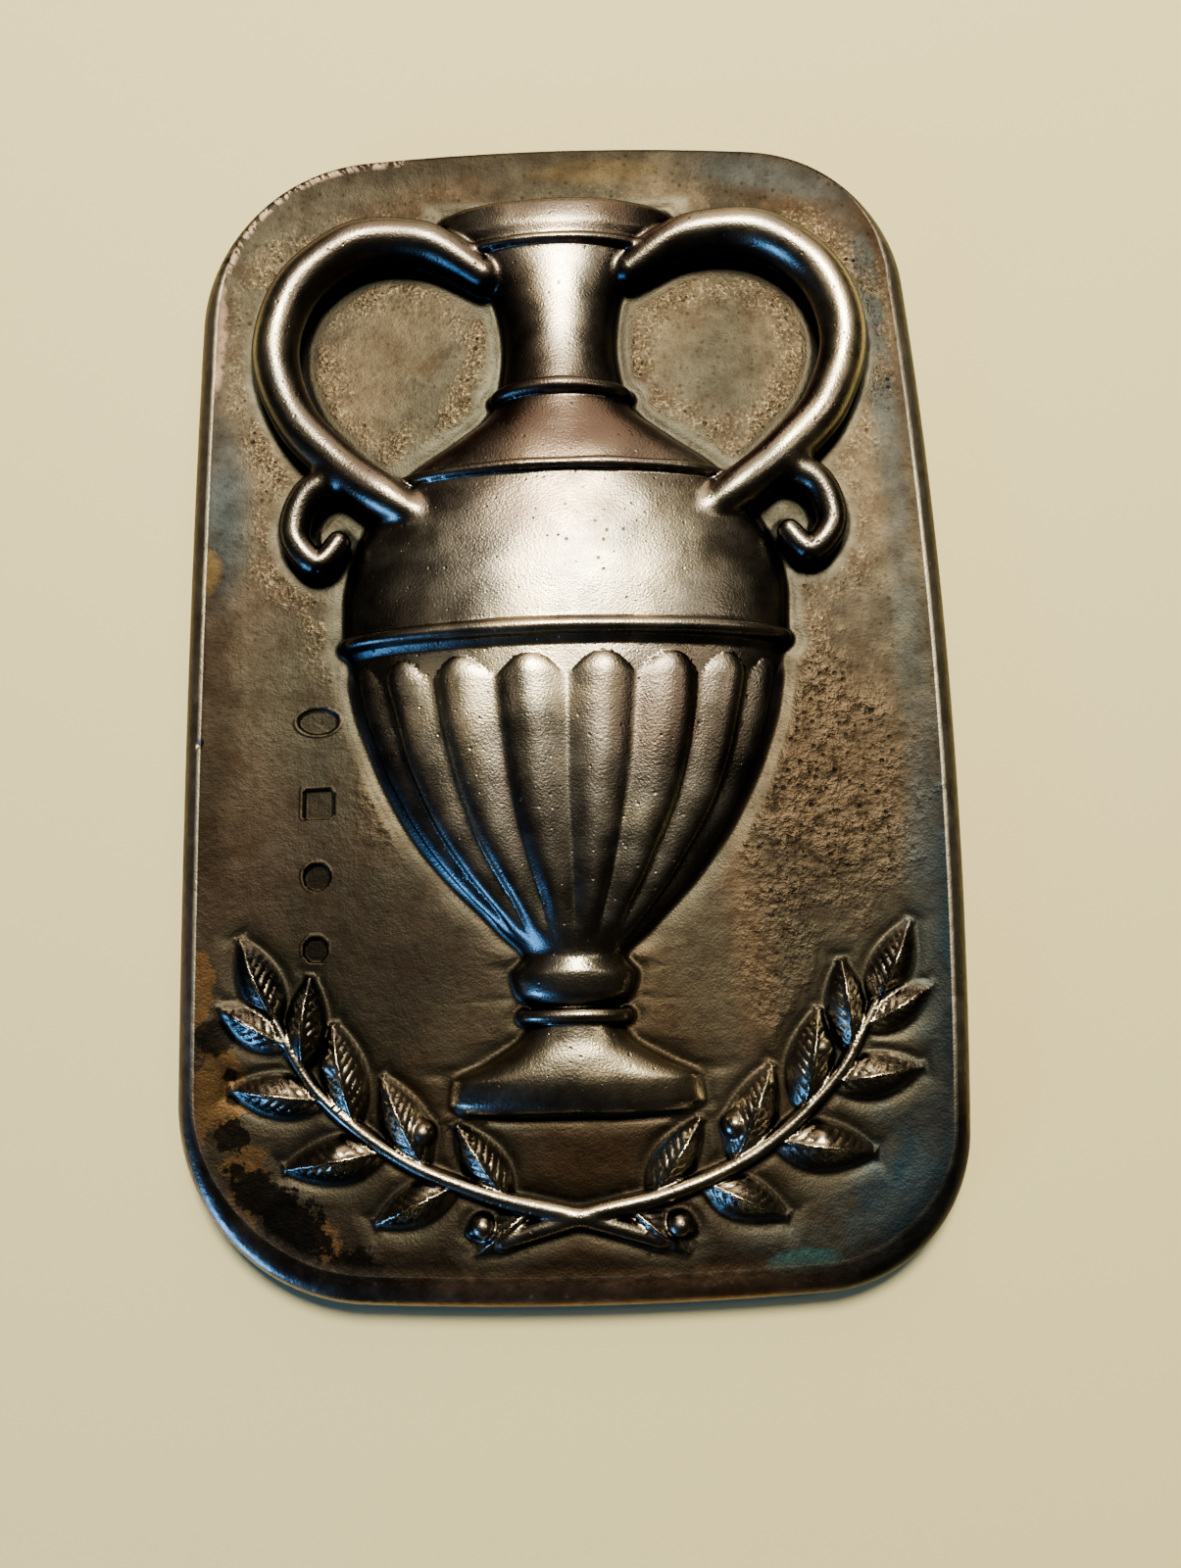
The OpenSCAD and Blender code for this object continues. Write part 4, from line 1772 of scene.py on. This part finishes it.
class SilverFinish:
    """The finish of the piece: satin cast silver under an uneven film of tarnish."""

    NAME = "tarnished_silver"
    # Size in millimetres, detail and roughness of each noise
    CLOUDS = (8.0, 2.0, 0.5)
    BLOTCHES = (2.2, 3.0, 0.6)
    FRINGE = (0.8, 3.0, 0.65)
    GRIT = (0.26, 2.0, 0.65)
    SATIN = (0.17, 1.0, 0.6)
    TEETH = (1.0, 3.0, 0.6)
    TEETH_TURN = math.radians(-34.0)
    TEETH_STRETCH = (2.6, 0.9, 0.8)
    # Gap between the pits and their width, on the ground and on the relief
    PIT_GAPS = (0.6, 0.7)
    PIT_WIDTHS = (0.42, 0.3)
    # Share of the pits that is kept, under thin and thick clouds
    PIT_SHARES = (0.3, 0.65)
    # Roughness of each region, and what comes off or on it
    GROUND_ROUGH = 0.54
    RELIEF_ROUGH = 0.29
    EDGE_ROUGH = 0.3
    WORN_EDGE_ROUGH = 0.42
    TOOLED_SMOOTHER = 0.07
    RUBBED_SMOOTHER = 0.12
    PITS_ROUGHER = 0.12
    # Heights and depths in millimetres
    GRIT_HEIGHT = 0.12
    LUMP_HEIGHT = 0.18
    MOTTLE_HEIGHT = 0.045
    BURR_HEIGHT = 0.05
    PIT_DEPTH = 0.085
    RELIEF_PIT_DEPTH = 0.025
    SATIN_HEIGHT = 0.018
    # How far each layer of colour covers what lies under it
    MOTTLED = 0.35
    GRIT_STRAW = 0.7
    GRIT_GLINTS = 0.75
    RIM_DARK = 0.4
    SUNK = 0.15
    GRIT_SUNK = 0.55
    LUMP_SUNK = 0.2
    DIPS = 0.24
    LUMP_DIPS = 0.5
    GROUND_PITS = 0.75
    RELIEF_PITS = 0.7
    # Soot in the hollows: grime, and painted shade by the occlusion measure
    GRIME_SOOT = 0.85
    RUBBED_SILVER = 0.6
    EDGE_STEEL = 0.9
    TOP_LINE = 0.8
    # Arris: how far its painted highlight dulls at the upper right, and how far its bare silver, part wear
    # and part painted highlight, covers
    DULL_ARRIS = 0.75
    ARRIS_SILVER = 0.9
    CORNER_DARK = 0.9
    # How far each adds to or takes off the film on the relief
    LOW_FILM = 0.4
    # Thicker film in the hollows: grime, and painted shade
    GRIME_FILM = 0.5
    RUBBED_FILM = 0.35
    # Stains narrower or crisper than this take the fine fringe
    FINE_STAIN = 1.6
    CRISP_STAIN = 0.3
    STAIN_Z = 2.7
    STAIN_DEPTH = 40.0

    CHIPPED = Stain(-19.6, 38.8, 3.2, 8.6, Tint.ROSE, 1.0, turn=-56.0, softness=0.2)
    LUMPY = (
        Stain(18.0, -7.5, 6.0, 8.5, Tint.GROUND, 1.0, softness=0.4),
        Stain(-12.0, -5.5, 2.6, 6.5, Tint.GROUND, 0.7, turn=-12.0),
        Stain(14.5, -20.0, 2.6, 7.0, Tint.GROUND, 0.5),
    )
    BROAD = (
        # Painted shade: umber darkening the lower left of the field
        Stain(-17.0, -27.0, 12.0, 15.0, Tint.UMBER, 0.45, softness=0.8),
        Stain(9.0, -25.0, 11.0, 8.0, Tint.STRAW, 0.4, softness=0.8),
        Stain(17.0, -31.0, 6.0, 8.0, Tint.OLIVE, 0.5, softness=0.7),
        Stain(-8.0, -27.0, 3.0, 7.0, Tint.STRAW, 0.25, turn=-30.0, softness=0.8),
        Stain(2.0, -37.0, 10.0, 3.6, Tint.RUSSET, 0.6, softness=0.7),
        # Painted shade: umber darkening the field towards the bottom edge
        Stain(0.0, -42.0, 25.0, 4.8, Tint.UMBER, 0.92, softness=0.7),
        Stain(0.0, 41.0, 26.0, 5.0, Tint.OLIVE, 0.7, softness=0.6),
        Stain(0.0, 42.0, 26.0, 5.0, Tint.UMBER, 0.55, softness=0.8),
        Stain(19.0, 33.0, 9.0, 11.0, Tint.UMBER, 0.45, softness=0.8),
        Stain(21.5, 36.5, 9.0, 6.0, Tint.UMBER, 0.6, turn=-50.0, softness=0.8),
        Stain(21.5, 35.0, 7.0, 3.4, Tint.RUSSET, 0.45, turn=-50.0, softness=0.6),
        Stain(17.0, 40.0, 7.0, 1.3, Tint.STEEL, 0.5, turn=-16.0, softness=0.6),
        Stain(-24.0, -6.0, 3.0, 18.0, Tint.RUSSET, 0.25, softness=0.7),
        Stain(-25.4, -2.0, 1.7, 13.0, Tint.UMBER, 0.5, softness=0.6),
        Stain(-11.5, -31.0, 3.0, 4.0, Tint.RUSSET, 0.6, softness=0.7),
        Stain(-16.5, 22.0, 3.6, 11.0, Tint.STRAW, 0.45, turn=-36.0, softness=0.6),
        Stain(-12.3, -5.0, 3.0, 6.5, Tint.STRAW, 0.42, turn=-12.0, softness=0.6),
        Stain(8.5, 33.0, 3.2, 8.0, Tint.STRAW, 0.45, softness=0.5),
        Stain(20.5, 18.0, 3.2, 12.0, Tint.STRAW, 0.45, turn=26.0, softness=0.6),
        Stain(20.8, 29.5, 3.0, 6.0, Tint.COPPER, 0.6, turn=32.0, softness=0.6),
        Stain(18.5, -7.0, 6.5, 8.5, Tint.COPPER, 0.65, softness=0.6),
        Stain(12.4, -20.0, 1.5, 9.5, Tint.COPPER, 0.6, turn=4.0, softness=0.6),
        Stain(14.0, -31.5, 3.6, 2.8, Tint.RUSSET, 0.6, turn=35.0, softness=0.6),
        Stain(2.0, -29.0, 5.6, 8.5, Tint.RUSSET, 0.65, softness=0.6),
        Stain(1.5, -22.0, 4.0, 6.0, Tint.COPPER, 0.5, softness=0.6),
        Stain(27.5, -22.0, 3.2, 15.0, Tint.TEAL, 0.85, softness=0.7, fray=1.4),
        Stain(24.0, -37.0, 5.4, 5.0, Tint.TEAL, 0.95, turn=30.0, softness=0.6, fray=1.6),
        Stain(-25.2, 13.5, 1.8, 5.5, Tint.TEAL, 0.45, softness=0.7),
        Stain(3.0, 40.9, 4.5, 0.9, Tint.GOLD, 0.35, softness=0.5),
        Stain(-10.0, 38.5, 5.0, 1.8, Tint.RUSSET, 0.4, turn=12.0, softness=0.6),
    )
    CRISP = (
        Stain(-26.3, 28.0, 0.9, 5.0, Tint.ROSE, 0.85, softness=0.2),
        Stain(-26.2, 8.9, 0.9, 1.7, Tint.GOLD, 0.7, softness=0.3),
        Stain(-26.0, -21.6, 1.0, 2.8, Tint.TAN, 0.95, softness=0.12, fray=1.6),
        Stain(-24.6, -28.4, 2.0, 3.0, Tint.TAN, 0.95, softness=0.12, fray=2.2),
        Stain(-22.6, -33.4, 1.6, 1.4, Tint.TAN, 0.9, turn=-30.0, softness=0.12, fray=2.6),
        Stain(-22.8, -36.2, 0.9, 1.8, Tint.TAN, 0.85, turn=30.0, softness=0.12, fray=2.0),
        Stain(-16.7, -38.6, 0.8, 1.9, Tint.TAN, 0.95, turn=24.0, softness=0.12, fray=1.6),
        Stain(-24.8, -24.7, 1.5, 1.2, Tint.SOOT, 0.86, softness=0.14, fray=1.4),
        Stain(-23.6, -31.4, 1.2, 1.1, Tint.SOOT, 0.9, softness=0.12, fray=2.4),
        Stain(-23.7, -27.4, 0.5, 0.45, Tint.SOOT, 0.85, softness=0.2, fray=2.4),
        Stain(-23.4, -29.0, 0.45, 0.4, Tint.SOOT, 0.85, softness=0.2, fray=2.4),
        Stain(-21.6, -35.0, 2.4, 1.3, Tint.SOOT, 0.93, turn=-32.0, softness=0.12, fray=2.4),
        Stain(-19.0, -37.4, 2.6, 1.6, Tint.SOOT, 0.94, turn=-42.0, softness=0.12, fray=2.4),
        Stain(-15.0, -39.9, 1.6, 1.2, Tint.SOOT, 0.9, turn=-20.0, softness=0.12, fray=2.4),
        Stain(14.8, -40.3, 2.5, 0.75, Tint.CYAN, 0.85, turn=4.0, softness=0.3, fray=0.8),
    )
    ON_RELIEF = (
        Stain(-1.0, 17.6, 11.0, 3.4, Tint.BLUSH, 0.75, softness=0.7),
        Stain(-5.5, 12.3, 9.0, 2.8, Tint.BLUSH, 0.7, turn=-6.0, softness=0.8),
        Stain(7.0, 10.5, 5.0, 3.6, Tint.OLIVE, 0.5, softness=0.8),
        Stain(-3.5, 27.0, 3.0, 6.0, Tint.BLUSH, 0.55, softness=0.8),
        Stain(-18.0, 32.0, 5.0, 4.0, Tint.BLUSH, 0.6, softness=0.8),
        Stain(3.0, 36.0, 9.0, 2.4, Tint.BLUSH, 0.45, softness=0.8),
        Stain(5.0, -3.0, 3.5, 4.0, Tint.BLUSH, 0.5, softness=0.8),
        Stain(-9.0, 12.0, 4.0, 6.0, Tint.GREY, 0.6, turn=-30.0, softness=0.7),
        Stain(12.0, 9.0, 4.0, 6.0, Tint.GREY, 0.6, softness=0.7),
        Stain(0.0, -17.0, 14.0, 8.0, Tint.GREY, 0.55, softness=0.7),
        Stain(0.0, -31.0, 25.0, 8.0, Tint.WORN, 0.5, softness=0.7),
        Stain(20.0, 27.0, 4.0, 9.0, Tint.WORN, 0.5, softness=0.7),
        Stain(-20.0, 27.0, 4.0, 9.0, Tint.GREY, 0.5, softness=0.7),
    )

    def __init__(self) -> None:
        """Start the material and write what its colour, roughness and height all read."""
        self.material = bpy.data.materials.new(self.NAME)
        self.material.use_nodes = True
        self.w = w = Wiring(self.material.node_tree)
        self.stains, patchy = StainMask(), PatchyMask()
        self.place = w.scaled(w.add("ShaderNodeTexCoord").outputs["Object"], 1.0 / MM)
        self.x, self.y = w.add("ShaderNodeSeparateXYZ", {0: self.place}).outputs[:2]
        self.m = {field.name: w.measure(field.name) for field in fields(Measures)}
        self.off_relief = w.rest(self.m["relief"])
        self.clouds = w.noises(self.place, *self.CLOUDS)
        self.blotch = w.noises(self.place, *self.BLOTCHES)
        self.fringe = w.noises(self.place, *self.FRINGE)
        self.grit = w.noise(self.place, *self.GRIT)[0]
        gap = w.ease(self.m["relief"], 0.4, 0.6, *self.PIT_GAPS)
        width = w.ease(self.m["relief"], 0.4, 0.6, *self.PIT_WIDTHS)
        share = w.ease(self.clouds[0], 0.4, 0.6, *self.PIT_SHARES)
        self.pits = CastPits().place(w, Place=self.place, Gap=gap, Share=share, Width=width)["Mask"]
        wear = {"Start": 0.4, "Full": 0.66, "Rag": self.fringe[1], "Patchiness": 0.5}
        self.rubbed = patchy.place(w, Amount=self.m["ridge"], **wear)["Mask"]
        # Grime and painted shade: darker where the cavity measure finds the skin closed in, as occlusion
        # would shade it
        grime = {"Start": 0.36, "Full": 0.6, "Rag": self.blotch[2], "Patchiness": 0.3}
        self.grime = patchy.place(w, Amount=self.m["cavity"], **grime)["Mask"]
        self.tooled = w.product(w.ease(self.m["near"], 1.6, 0.9), self.off_relief)
        self.open_ground = w.product(w.ease(self.m["near"], 1.0, 1.6), self.off_relief)
        self.gritty = self.gritty_band()
        lumpy = w.total(*(w.product(self.stain_mask(stain), stain.share) for stain in self.LUMPY))
        self.lumpy = w.product(w.math("MINIMUM", lumpy, 1.0), self.open_ground)
        self.rough = w.math("MAXIMUM", self.gritty, self.lumpy)
        mark = self.m["mark"]
        self.burr = w.product(w.ease(mark, -0.08, 0.04), w.ease(mark, 0.3, 0.12))

    def across(self, left: float, right: float) -> Socket:
        """Ease from 0 to 1 between two places across the design, in millimetres."""
        return self.w.ease(self.x, left, right)

    def up(self, low: float, high: float, bottom: float = 0.0, top: float = 1.0) -> Socket:
        """Ease from bottom to top between two places up the design, in millimetres."""
        return self.w.ease(self.y, low, high, bottom, top)

    def inward(self, low: Feed, high: Feed, bottom: float = 0.0, top: float = 1.0) -> Socket:
        """Ease from bottom to top between two distances in from the arris, in millimetres."""
        return self.w.ease(self.m["inset"], low, high, bottom, top)

    def gritty_band(self) -> Socket:
        """Spread sharp grit left by the chasing in a band round the upper half of the relief.

        Returns:
            The share of grit.
        """
        w = self.w
        band = w.product(w.ease(self.m["near"], 4.2, 1.8), self.up(-8.0, 8.0), self.up(39.0, 34.0, 0.1, 1.0))
        blotches = w.ease(self.blotch[0], 0.36, 0.6, 0.12, 1.0)
        clouds = w.ease(self.clouds[1], 0.38, 0.58, 0.3, 1.0)
        return w.product(band, w.product(blotches, clouds), self.open_ground)

    def stain_mask(self, stain: Stain) -> Socket:
        """Write the mask of one stain, frayed by one of the noises.

        Args:
            stain: The stain.

        Returns:
            Its mask.
        """
        wide = min(stain.wide, stain.tall) > self.FINE_STAIN and stain.softness > self.CRISP_STAIN
        rags = self.blotch if wide else self.fringe
        out = self.stains.place(
            self.w,
            Place=self.place,
            Centre=(stain.x, stain.y, self.STAIN_Z),
            Reach=(stain.wide, stain.tall, self.STAIN_DEPTH),
            Turn=math.radians(stain.turn),
            Softness=stain.softness,
            Rag=rags[int(abs(stain.x) + abs(stain.y)) % len(rags)],
            Fray=stain.fray,
        )
        return out["Mask"]

    def stained(self, colour: Feed, stains: tuple[Stain, ...]) -> Socket:
        """Lay stains over a colour, one after another.

        Args:
            colour: What they lie on.
            stains: The stains, lowest first.

        Returns:
            The stained colour.
        """
        for stain in stains:
            colour = self.w.lay(colour, stain.tint, self.stain_mask(stain), stain.share)
        return colour

    def ground_colour(self) -> Socket:
        """Colour the plate: brown film, straw by the relief with painted glints, blue at the right rim,
        stains, and painted shade low down.

        Returns:
            The colour.
        """
        w, mark = self.w, self.m["mark"]
        colour = w.lay(Tint.GROUND.rgba, Tint.OLIVE, w.ease(self.clouds[0], 0.35, 0.65))
        colour = w.lay(colour, Tint.RUSSET, w.ease(self.blotch[1], 0.5, 0.75), self.MOTTLED)
        colour = self.stained(colour, self.BROAD)
        colour = w.lay(colour, Tint.STRAW, self.gritty, self.GRIT_STRAW)
        # Painted glints: the grit's high points are lightened in colour to stand in for sparkle
        colour = w.lay(colour, Tint.GLINT, self.gritty, w.ease(self.grit, 0.54, 0.66), self.GRIT_GLINTS)
        rim = w.product(self.inward(3.2, 1.9), self.inward(0.4, 1.1), self.across(6.0, 18.0))
        patches = w.ease(self.blotch[2], 0.3, 0.6, 0.3, 1.0)
        fade = self.up(12.0, 30.0, 0.6, 0.95)
        colour = w.lay(colour, Tint.STEEL, rim, patches, fade, self.up(31.0, 37.0, 1.0, 0.35))
        clouds = w.ease(self.clouds[1], 0.3, 0.6)
        colour = w.lay(colour, Tint.UMBER, self.inward(2.4, 0.2), clouds, self.RIM_DARK)
        colour = w.lay(colour, Tint.HALO, self.tooled, self.up(-25.0, 5.0, 0.25, 0.5))
        colour = w.lay(colour, Tint.SOOT, w.ease(mark, 0.0, -0.1), self.up(-12.0, -10.0, 0.7, 0.35))
        colour = w.lay(colour, Tint.STRAW, self.burr, w.ease(self.fringe[2], 0.35, 0.6, 0.1, 0.5))
        colour = self.stained(colour, self.CRISP)
        sunk = w.total(w.product(self.gritty, self.GRIT_SUNK), w.product(self.lumpy, self.LUMP_SUNK))
        sunk = w.total(sunk, self.SUNK)
        colour = w.lay(colour, Tint.UMBER, w.ease(self.grit, 0.48, 0.32), sunk)
        dips = w.total(w.product(self.lumpy, self.LUMP_DIPS), w.product(self.open_ground, self.DIPS))
        return w.lay(colour, Tint.UMBER, w.ease(self.fringe[0], 0.52, 0.34), dips)

    def relief_colour(self) -> Socket:
        """Colour the relief: bare on its crests, steel low on its sides, and plum on the flanks facing up and
        left, a film tint that also paints a reddish reflection there.

        Returns:
            The colour.
        """
        w, rise = self.w, self.m["rise"]
        low = w.product(w.ease(self.m["steep"], 0.35, 0.8), w.ease(rise, 3.4, 0.6))
        film = w.total(
            w.product(low, self.LOW_FILM),
            w.ease(rise, 4.2, 1.2, 0.36, 0.52),
            self.up(3.0, -14.0, 0.0, 0.08),
            self.up(-18.0, -25.0, 0.0, -0.2),
            w.ease(self.clouds[2], 0.3, 0.7, -0.12, 0.24),
            w.ease(self.blotch[0], 0.3, 0.75, -0.03, 0.05),
            # thicker film in the hollows, part grime and part painted shade
            w.product(self.grime, self.GRIME_FILM),
        )
        film = w.math("SUBTRACT", film, w.product(self.rubbed, self.RUBBED_FILM))
        colour = self.stained(FilmColour().place(w, Thickness=film)["Color"], self.ON_RELIEF)
        # Plum on the flanks facing up and left: film tint, and a painted reflection set by which way the skin
        # faces
        plum_reflection = w.ease(self.fringe[2], 0.3, 0.6, 0.5, 0.95)
        return w.lay(colour, Tint.PLUM, w.ease(self.m["lean"], 0.35, 0.7), plum_reflection, self.up(2.0, 12.0, 0.1, 1.0))

    def colour(self) -> Socket:
        """Colour the whole piece.

        Returns:
            The colour.
        """
        w, relief = self.w, self.m["relief"]
        colour = w.blend(relief, self.ground_colour(), self.relief_colour())
        pitted = w.total(w.product(self.rough, self.GROUND_PITS), w.product(relief, self.RELIEF_PITS))
        colour = w.lay(colour, Tint.UMBER, self.pits, pitted)
        # Soot in the hollows, part grime and part painted shade
        colour = w.lay(colour, Tint.SOOT, self.grime, self.GRIME_SOOT)
        colour = w.lay(colour, Tint.SILVER, self.rubbed, relief, self.RUBBED_SILVER)
        return self.edge_colour(colour)

    def edge_colour(self, colour: Feed) -> Socket:
        """Lay the colours of the rolled edge with its painted reflection and shade, its worn arris with a
        painted highlight, and its chipped corner over a colour.

        Args:
            colour: The colour of the rest.

        Returns:
            The colour of the whole.
        """
        w, low = self.w, self.up(-26.0, -34.0)
        # Painted reflection: the rolled edge warmer on the left, greyer on the right, for what each side
        # faces
        edge = w.lay(Tint.EDGE.rgba, Tint.ASH, self.across(-12.0, 12.0))
        # Painted shade: the outer part of the rolled edge darkened, except along the bottom
        edge = w.lay(edge, Tint.UMBER, w.rest(low), self.inward(-0.5, -1.0, 0.0, 0.4))
        edge = w.lay(edge, Tint.BRONZE, low, self.across(-16.0, -8.0))
        edge = w.lay(edge, Tint.STEEL, low, self.across(10.0, 20.0), self.EDGE_STEEL)
        rolled = self.inward(w.ease(low, 0.0, 1.0, 0.05, 0.9), w.ease(low, 0.0, 1.0, -0.15, -1.4))
        colour = w.blend(w.product(rolled, w.ease(self.fringe[2], 0.3, 0.7, 0.7, 1.0)), colour, edge)
        top_line = w.product(self.up(34.0, 39.0), self.inward(0.3, 0.0))
        colour = w.lay(colour, Tint.UMBER, top_line, self.TOP_LINE)
        # Bare silver along the arris: wear, and a painted highlight that is bright low down and dull at the
        # upper right
        dull_highlight = w.product(self.across(-5.0, 5.0), self.up(6.0, 24.0), self.DULL_ARRIS)
        colour = w.lay(
            colour,
            Tint.SILVER,
            self.inward(0.16, 0.04),
            self.inward(-0.22, -0.1),
            self.up(-34.0, -22.0, 0.1, 1.0),
            self.up(40.0, 36.0),
            w.ease(self.fringe[0], 0.25, 0.5, 0.5, 1.0),
            w.rest(dull_highlight),
            self.ARRIS_SILVER,
        )
        corner = self.stain_mask(self.CHIPPED)
        colour = w.lay(colour, Tint.UMBER, corner, self.inward(0.35, 0.05), self.CORNER_DARK)
        teeth = w.vector("MULTIPLY", w.turned(self.place, self.TEETH_TURN), self.TEETH_STRETCH)
        chips = w.product(self.inward(0.65, 0.25), self.inward(-0.35, -0.15), corner)
        return w.lay(colour, Tint.CHIP, chips, w.ease(w.noise(teeth, *self.TEETH)[0], 0.46, 0.52))

    def roughness(self) -> Socket:
        """Set how rough the piece is: satin ground, smoother relief, glossy edge.

        Returns:
            The roughness.
        """
        w = self.w
        sleek = w.product(self.up(-24.0, -34.0), self.across(-6.0, -14.0))
        rolled = w.ease(sleek, 0.0, 1.0, self.WORN_EDGE_ROUGH, self.EDGE_ROUGH)
        ground = w.ease(self.inward(0.15, -0.05), 0.0, 1.0, self.GROUND_ROUGH, rolled)
        ground = w.math("SUBTRACT", ground, w.product(self.tooled, self.TOOLED_SMOOTHER))
        rough = w.total(
            w.product(self.m["relief"], self.RELIEF_ROUGH),
            w.product(self.off_relief, ground),
            w.ease(self.blotch[1], 0.25, 0.75, -0.04, 0.06),
            w.product(self.pits, self.PITS_ROUGHER),
        )
        return w.math("SUBTRACT", rough, w.product(self.rubbed, self.RUBBED_SMOOTHER))

    def height(self) -> Socket:
        """Raise the small surface work: grit, lumps, burrs, pits and satin grain.

        Returns:
            The height in millimetres.
        """
        w = self.w
        depth = w.product(self.rough, self.PIT_DEPTH)
        depth = w.total(depth, w.product(self.m["relief"], self.RELIEF_PIT_DEPTH))
        lumps = w.product(self.lumpy, self.LUMP_HEIGHT)
        lumps = w.total(lumps, w.product(self.open_ground, self.MOTTLE_HEIGHT))
        height = w.total(
            w.product(self.grit, w.product(self.gritty, self.GRIT_HEIGHT)),
            w.product(self.fringe[0], lumps),
            w.product(self.burr, self.BURR_HEIGHT),
        )
        height = w.math("SUBTRACT", height, w.product(self.pits, depth))
        satin = w.noise(self.place, *self.SATIN)[0]
        return w.total(height, w.product(satin, self.inward(-0.3, 0.1), self.SATIN_HEIGHT))

    def build(self) -> bpy.types.Material:
        """Join colour, roughness and height to the shader.

        Returns:
            The finished material.
        """
        inputs = self.material.node_tree.nodes["Principled BSDF"].inputs
        bump = {"Height": self.height(), "Distance": MM, "Strength": 1.0}
        self.w.feed(inputs["Base Color"], self.colour())
        self.w.feed(inputs["Roughness"], self.roughness())
        self.w.feed(inputs["Normal"], self.w.add("ShaderNodeBump", bump).outputs[0])
        inputs["Metallic"].default_value = 1.0
        return self.material


@dataclass(frozen=True)
class AreaLamp:
    """A soft round lamp aimed at the middle of the scene."""

    name: str
    place: tuple[float, float, float]
    size: float
    power: float
    tint: tuple[float, float, float]

    def build(self) -> bpy.types.Object:
        """Make the lamp and face it to the origin.

        Returns:
            The lamp's object.
        """
        data = bpy.data.lights.new(self.name, "AREA")
        data.shape = "DISK"
        data.size = self.size
        data.energy = self.power
        data.color = self.tint
        lamp = add_object(self.name, data)
        lamp.location = self.place
        lamp.rotation_euler = (-lamp.location).to_track_quat("-Z", "Y").to_euler()
        return lamp


@dataclass(frozen=True)
class Studio:
    """The pale floor, the lamps and the camera."""

    image_height: int = 1600
    focal_pixels: float = 1200.0
    sensor: float = 36.0
    nearest: float = 0.005
    camera_at: tuple[float, float, float] = (1.79 * MM, -22.65 * MM, 85.3 * MM)
    looks_along: tuple[float, float, float] = (-0.00418, 0.17711, -0.98418)
    up: tuple[float, float, float] = (0.0288, 0.9838, 0.17691)
    floor_size: float = 1.2
    floor_rough: float = 0.7
    floor_tint: tuple[float, float, float, float] = (0.80, 0.725, 0.40, 1.0)
    room_tint: tuple[float, float, float, float] = (0.9, 0.75, 0.6, 1.0)
    room_light: float = 0.03
    look: str = "AgX - Medium High Contrast"
    lamps: tuple[AreaLamp, ...] = (
        AreaLamp("key", (0.016, 0.184, 0.36), 0.12, 2.3, (1.0, 0.92, 0.76)),
        AreaLamp("window", (-0.36, -0.33, 0.12), 0.20, 1.25, (0.15, 0.43, 1.0)),
        AreaLamp("shelf", (0.25, 0.10, 0.40), 0.05, 0.12, (1.0, 0.86, 0.68)),
        AreaLamp("door", (-0.27, 0.10, 0.40), 0.05, 0.03, (1.0, 0.84, 0.66)),
        AreaLamp("wall", (0.05, 0.55, 0.30), 0.5, 1.2, (1.0, 0.78, 0.60)),
    )

    def build(self) -> None:
        """Make all of it."""
        self.camera()
        self.floor()
        self.lights()

    def camera(self) -> None:
        """Stand the camera where the photograph was taken from."""
        data = bpy.data.cameras.new("camera")
        data.sensor_width = self.sensor
        data.lens = self.sensor * self.focal_pixels / self.image_height
        data.clip_start = self.nearest
        camera = add_object("camera", data)
        forward = Vector(self.looks_along).normalized()
        right = forward.cross(Vector(self.up)).normalized()
        up = right.cross(forward)
        matrix = camera.matrix_world.copy()
        for row in range(3):
            matrix[row][0:4] = (right[row], up[row], -forward[row], self.camera_at[row])
        camera.matrix_world = matrix
        bpy.context.scene.camera = camera

    def floor(self) -> None:
        """Lay a pale sheet under the piece."""
        half = self.floor_size / 2
        corners = [(-half, -half, 0), (half, -half, 0), (half, half, 0), (-half, half, 0)]
        mesh = bpy.data.meshes.new("floor")
        mesh.from_pydata(corners, [], [(0, 1, 2, 3)])
        floor = add_object("floor", mesh)
        material = bpy.data.materials.new("floor")
        material.use_nodes = True
        shader = material.node_tree.nodes["Principled BSDF"]
        shader.inputs["Base Color"].default_value = self.floor_tint
        shader.inputs["Roughness"].default_value = self.floor_rough
        mesh.materials.append(material)

    def lights(self) -> None:
        """Hang the lamps and set the dim room."""
        for lamp in self.lamps:
            lamp.build()
        world = bpy.data.worlds.new("room")
        world.use_nodes = True
        background = world.node_tree.nodes["Background"]
        background.inputs["Color"].default_value = self.room_tint
        background.inputs["Strength"].default_value = self.room_light
        bpy.context.scene.world = world
        bpy.context.scene.view_settings.look = self.look


def main() -> None:
    """Build the studio and the piece."""
    Studio().build()
    piece = Plaquette().build()
    piece.data.materials.append(SilverFinish().build())
    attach(piece, "root")
    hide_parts("medal")


if __name__ == "__main__":
    main()
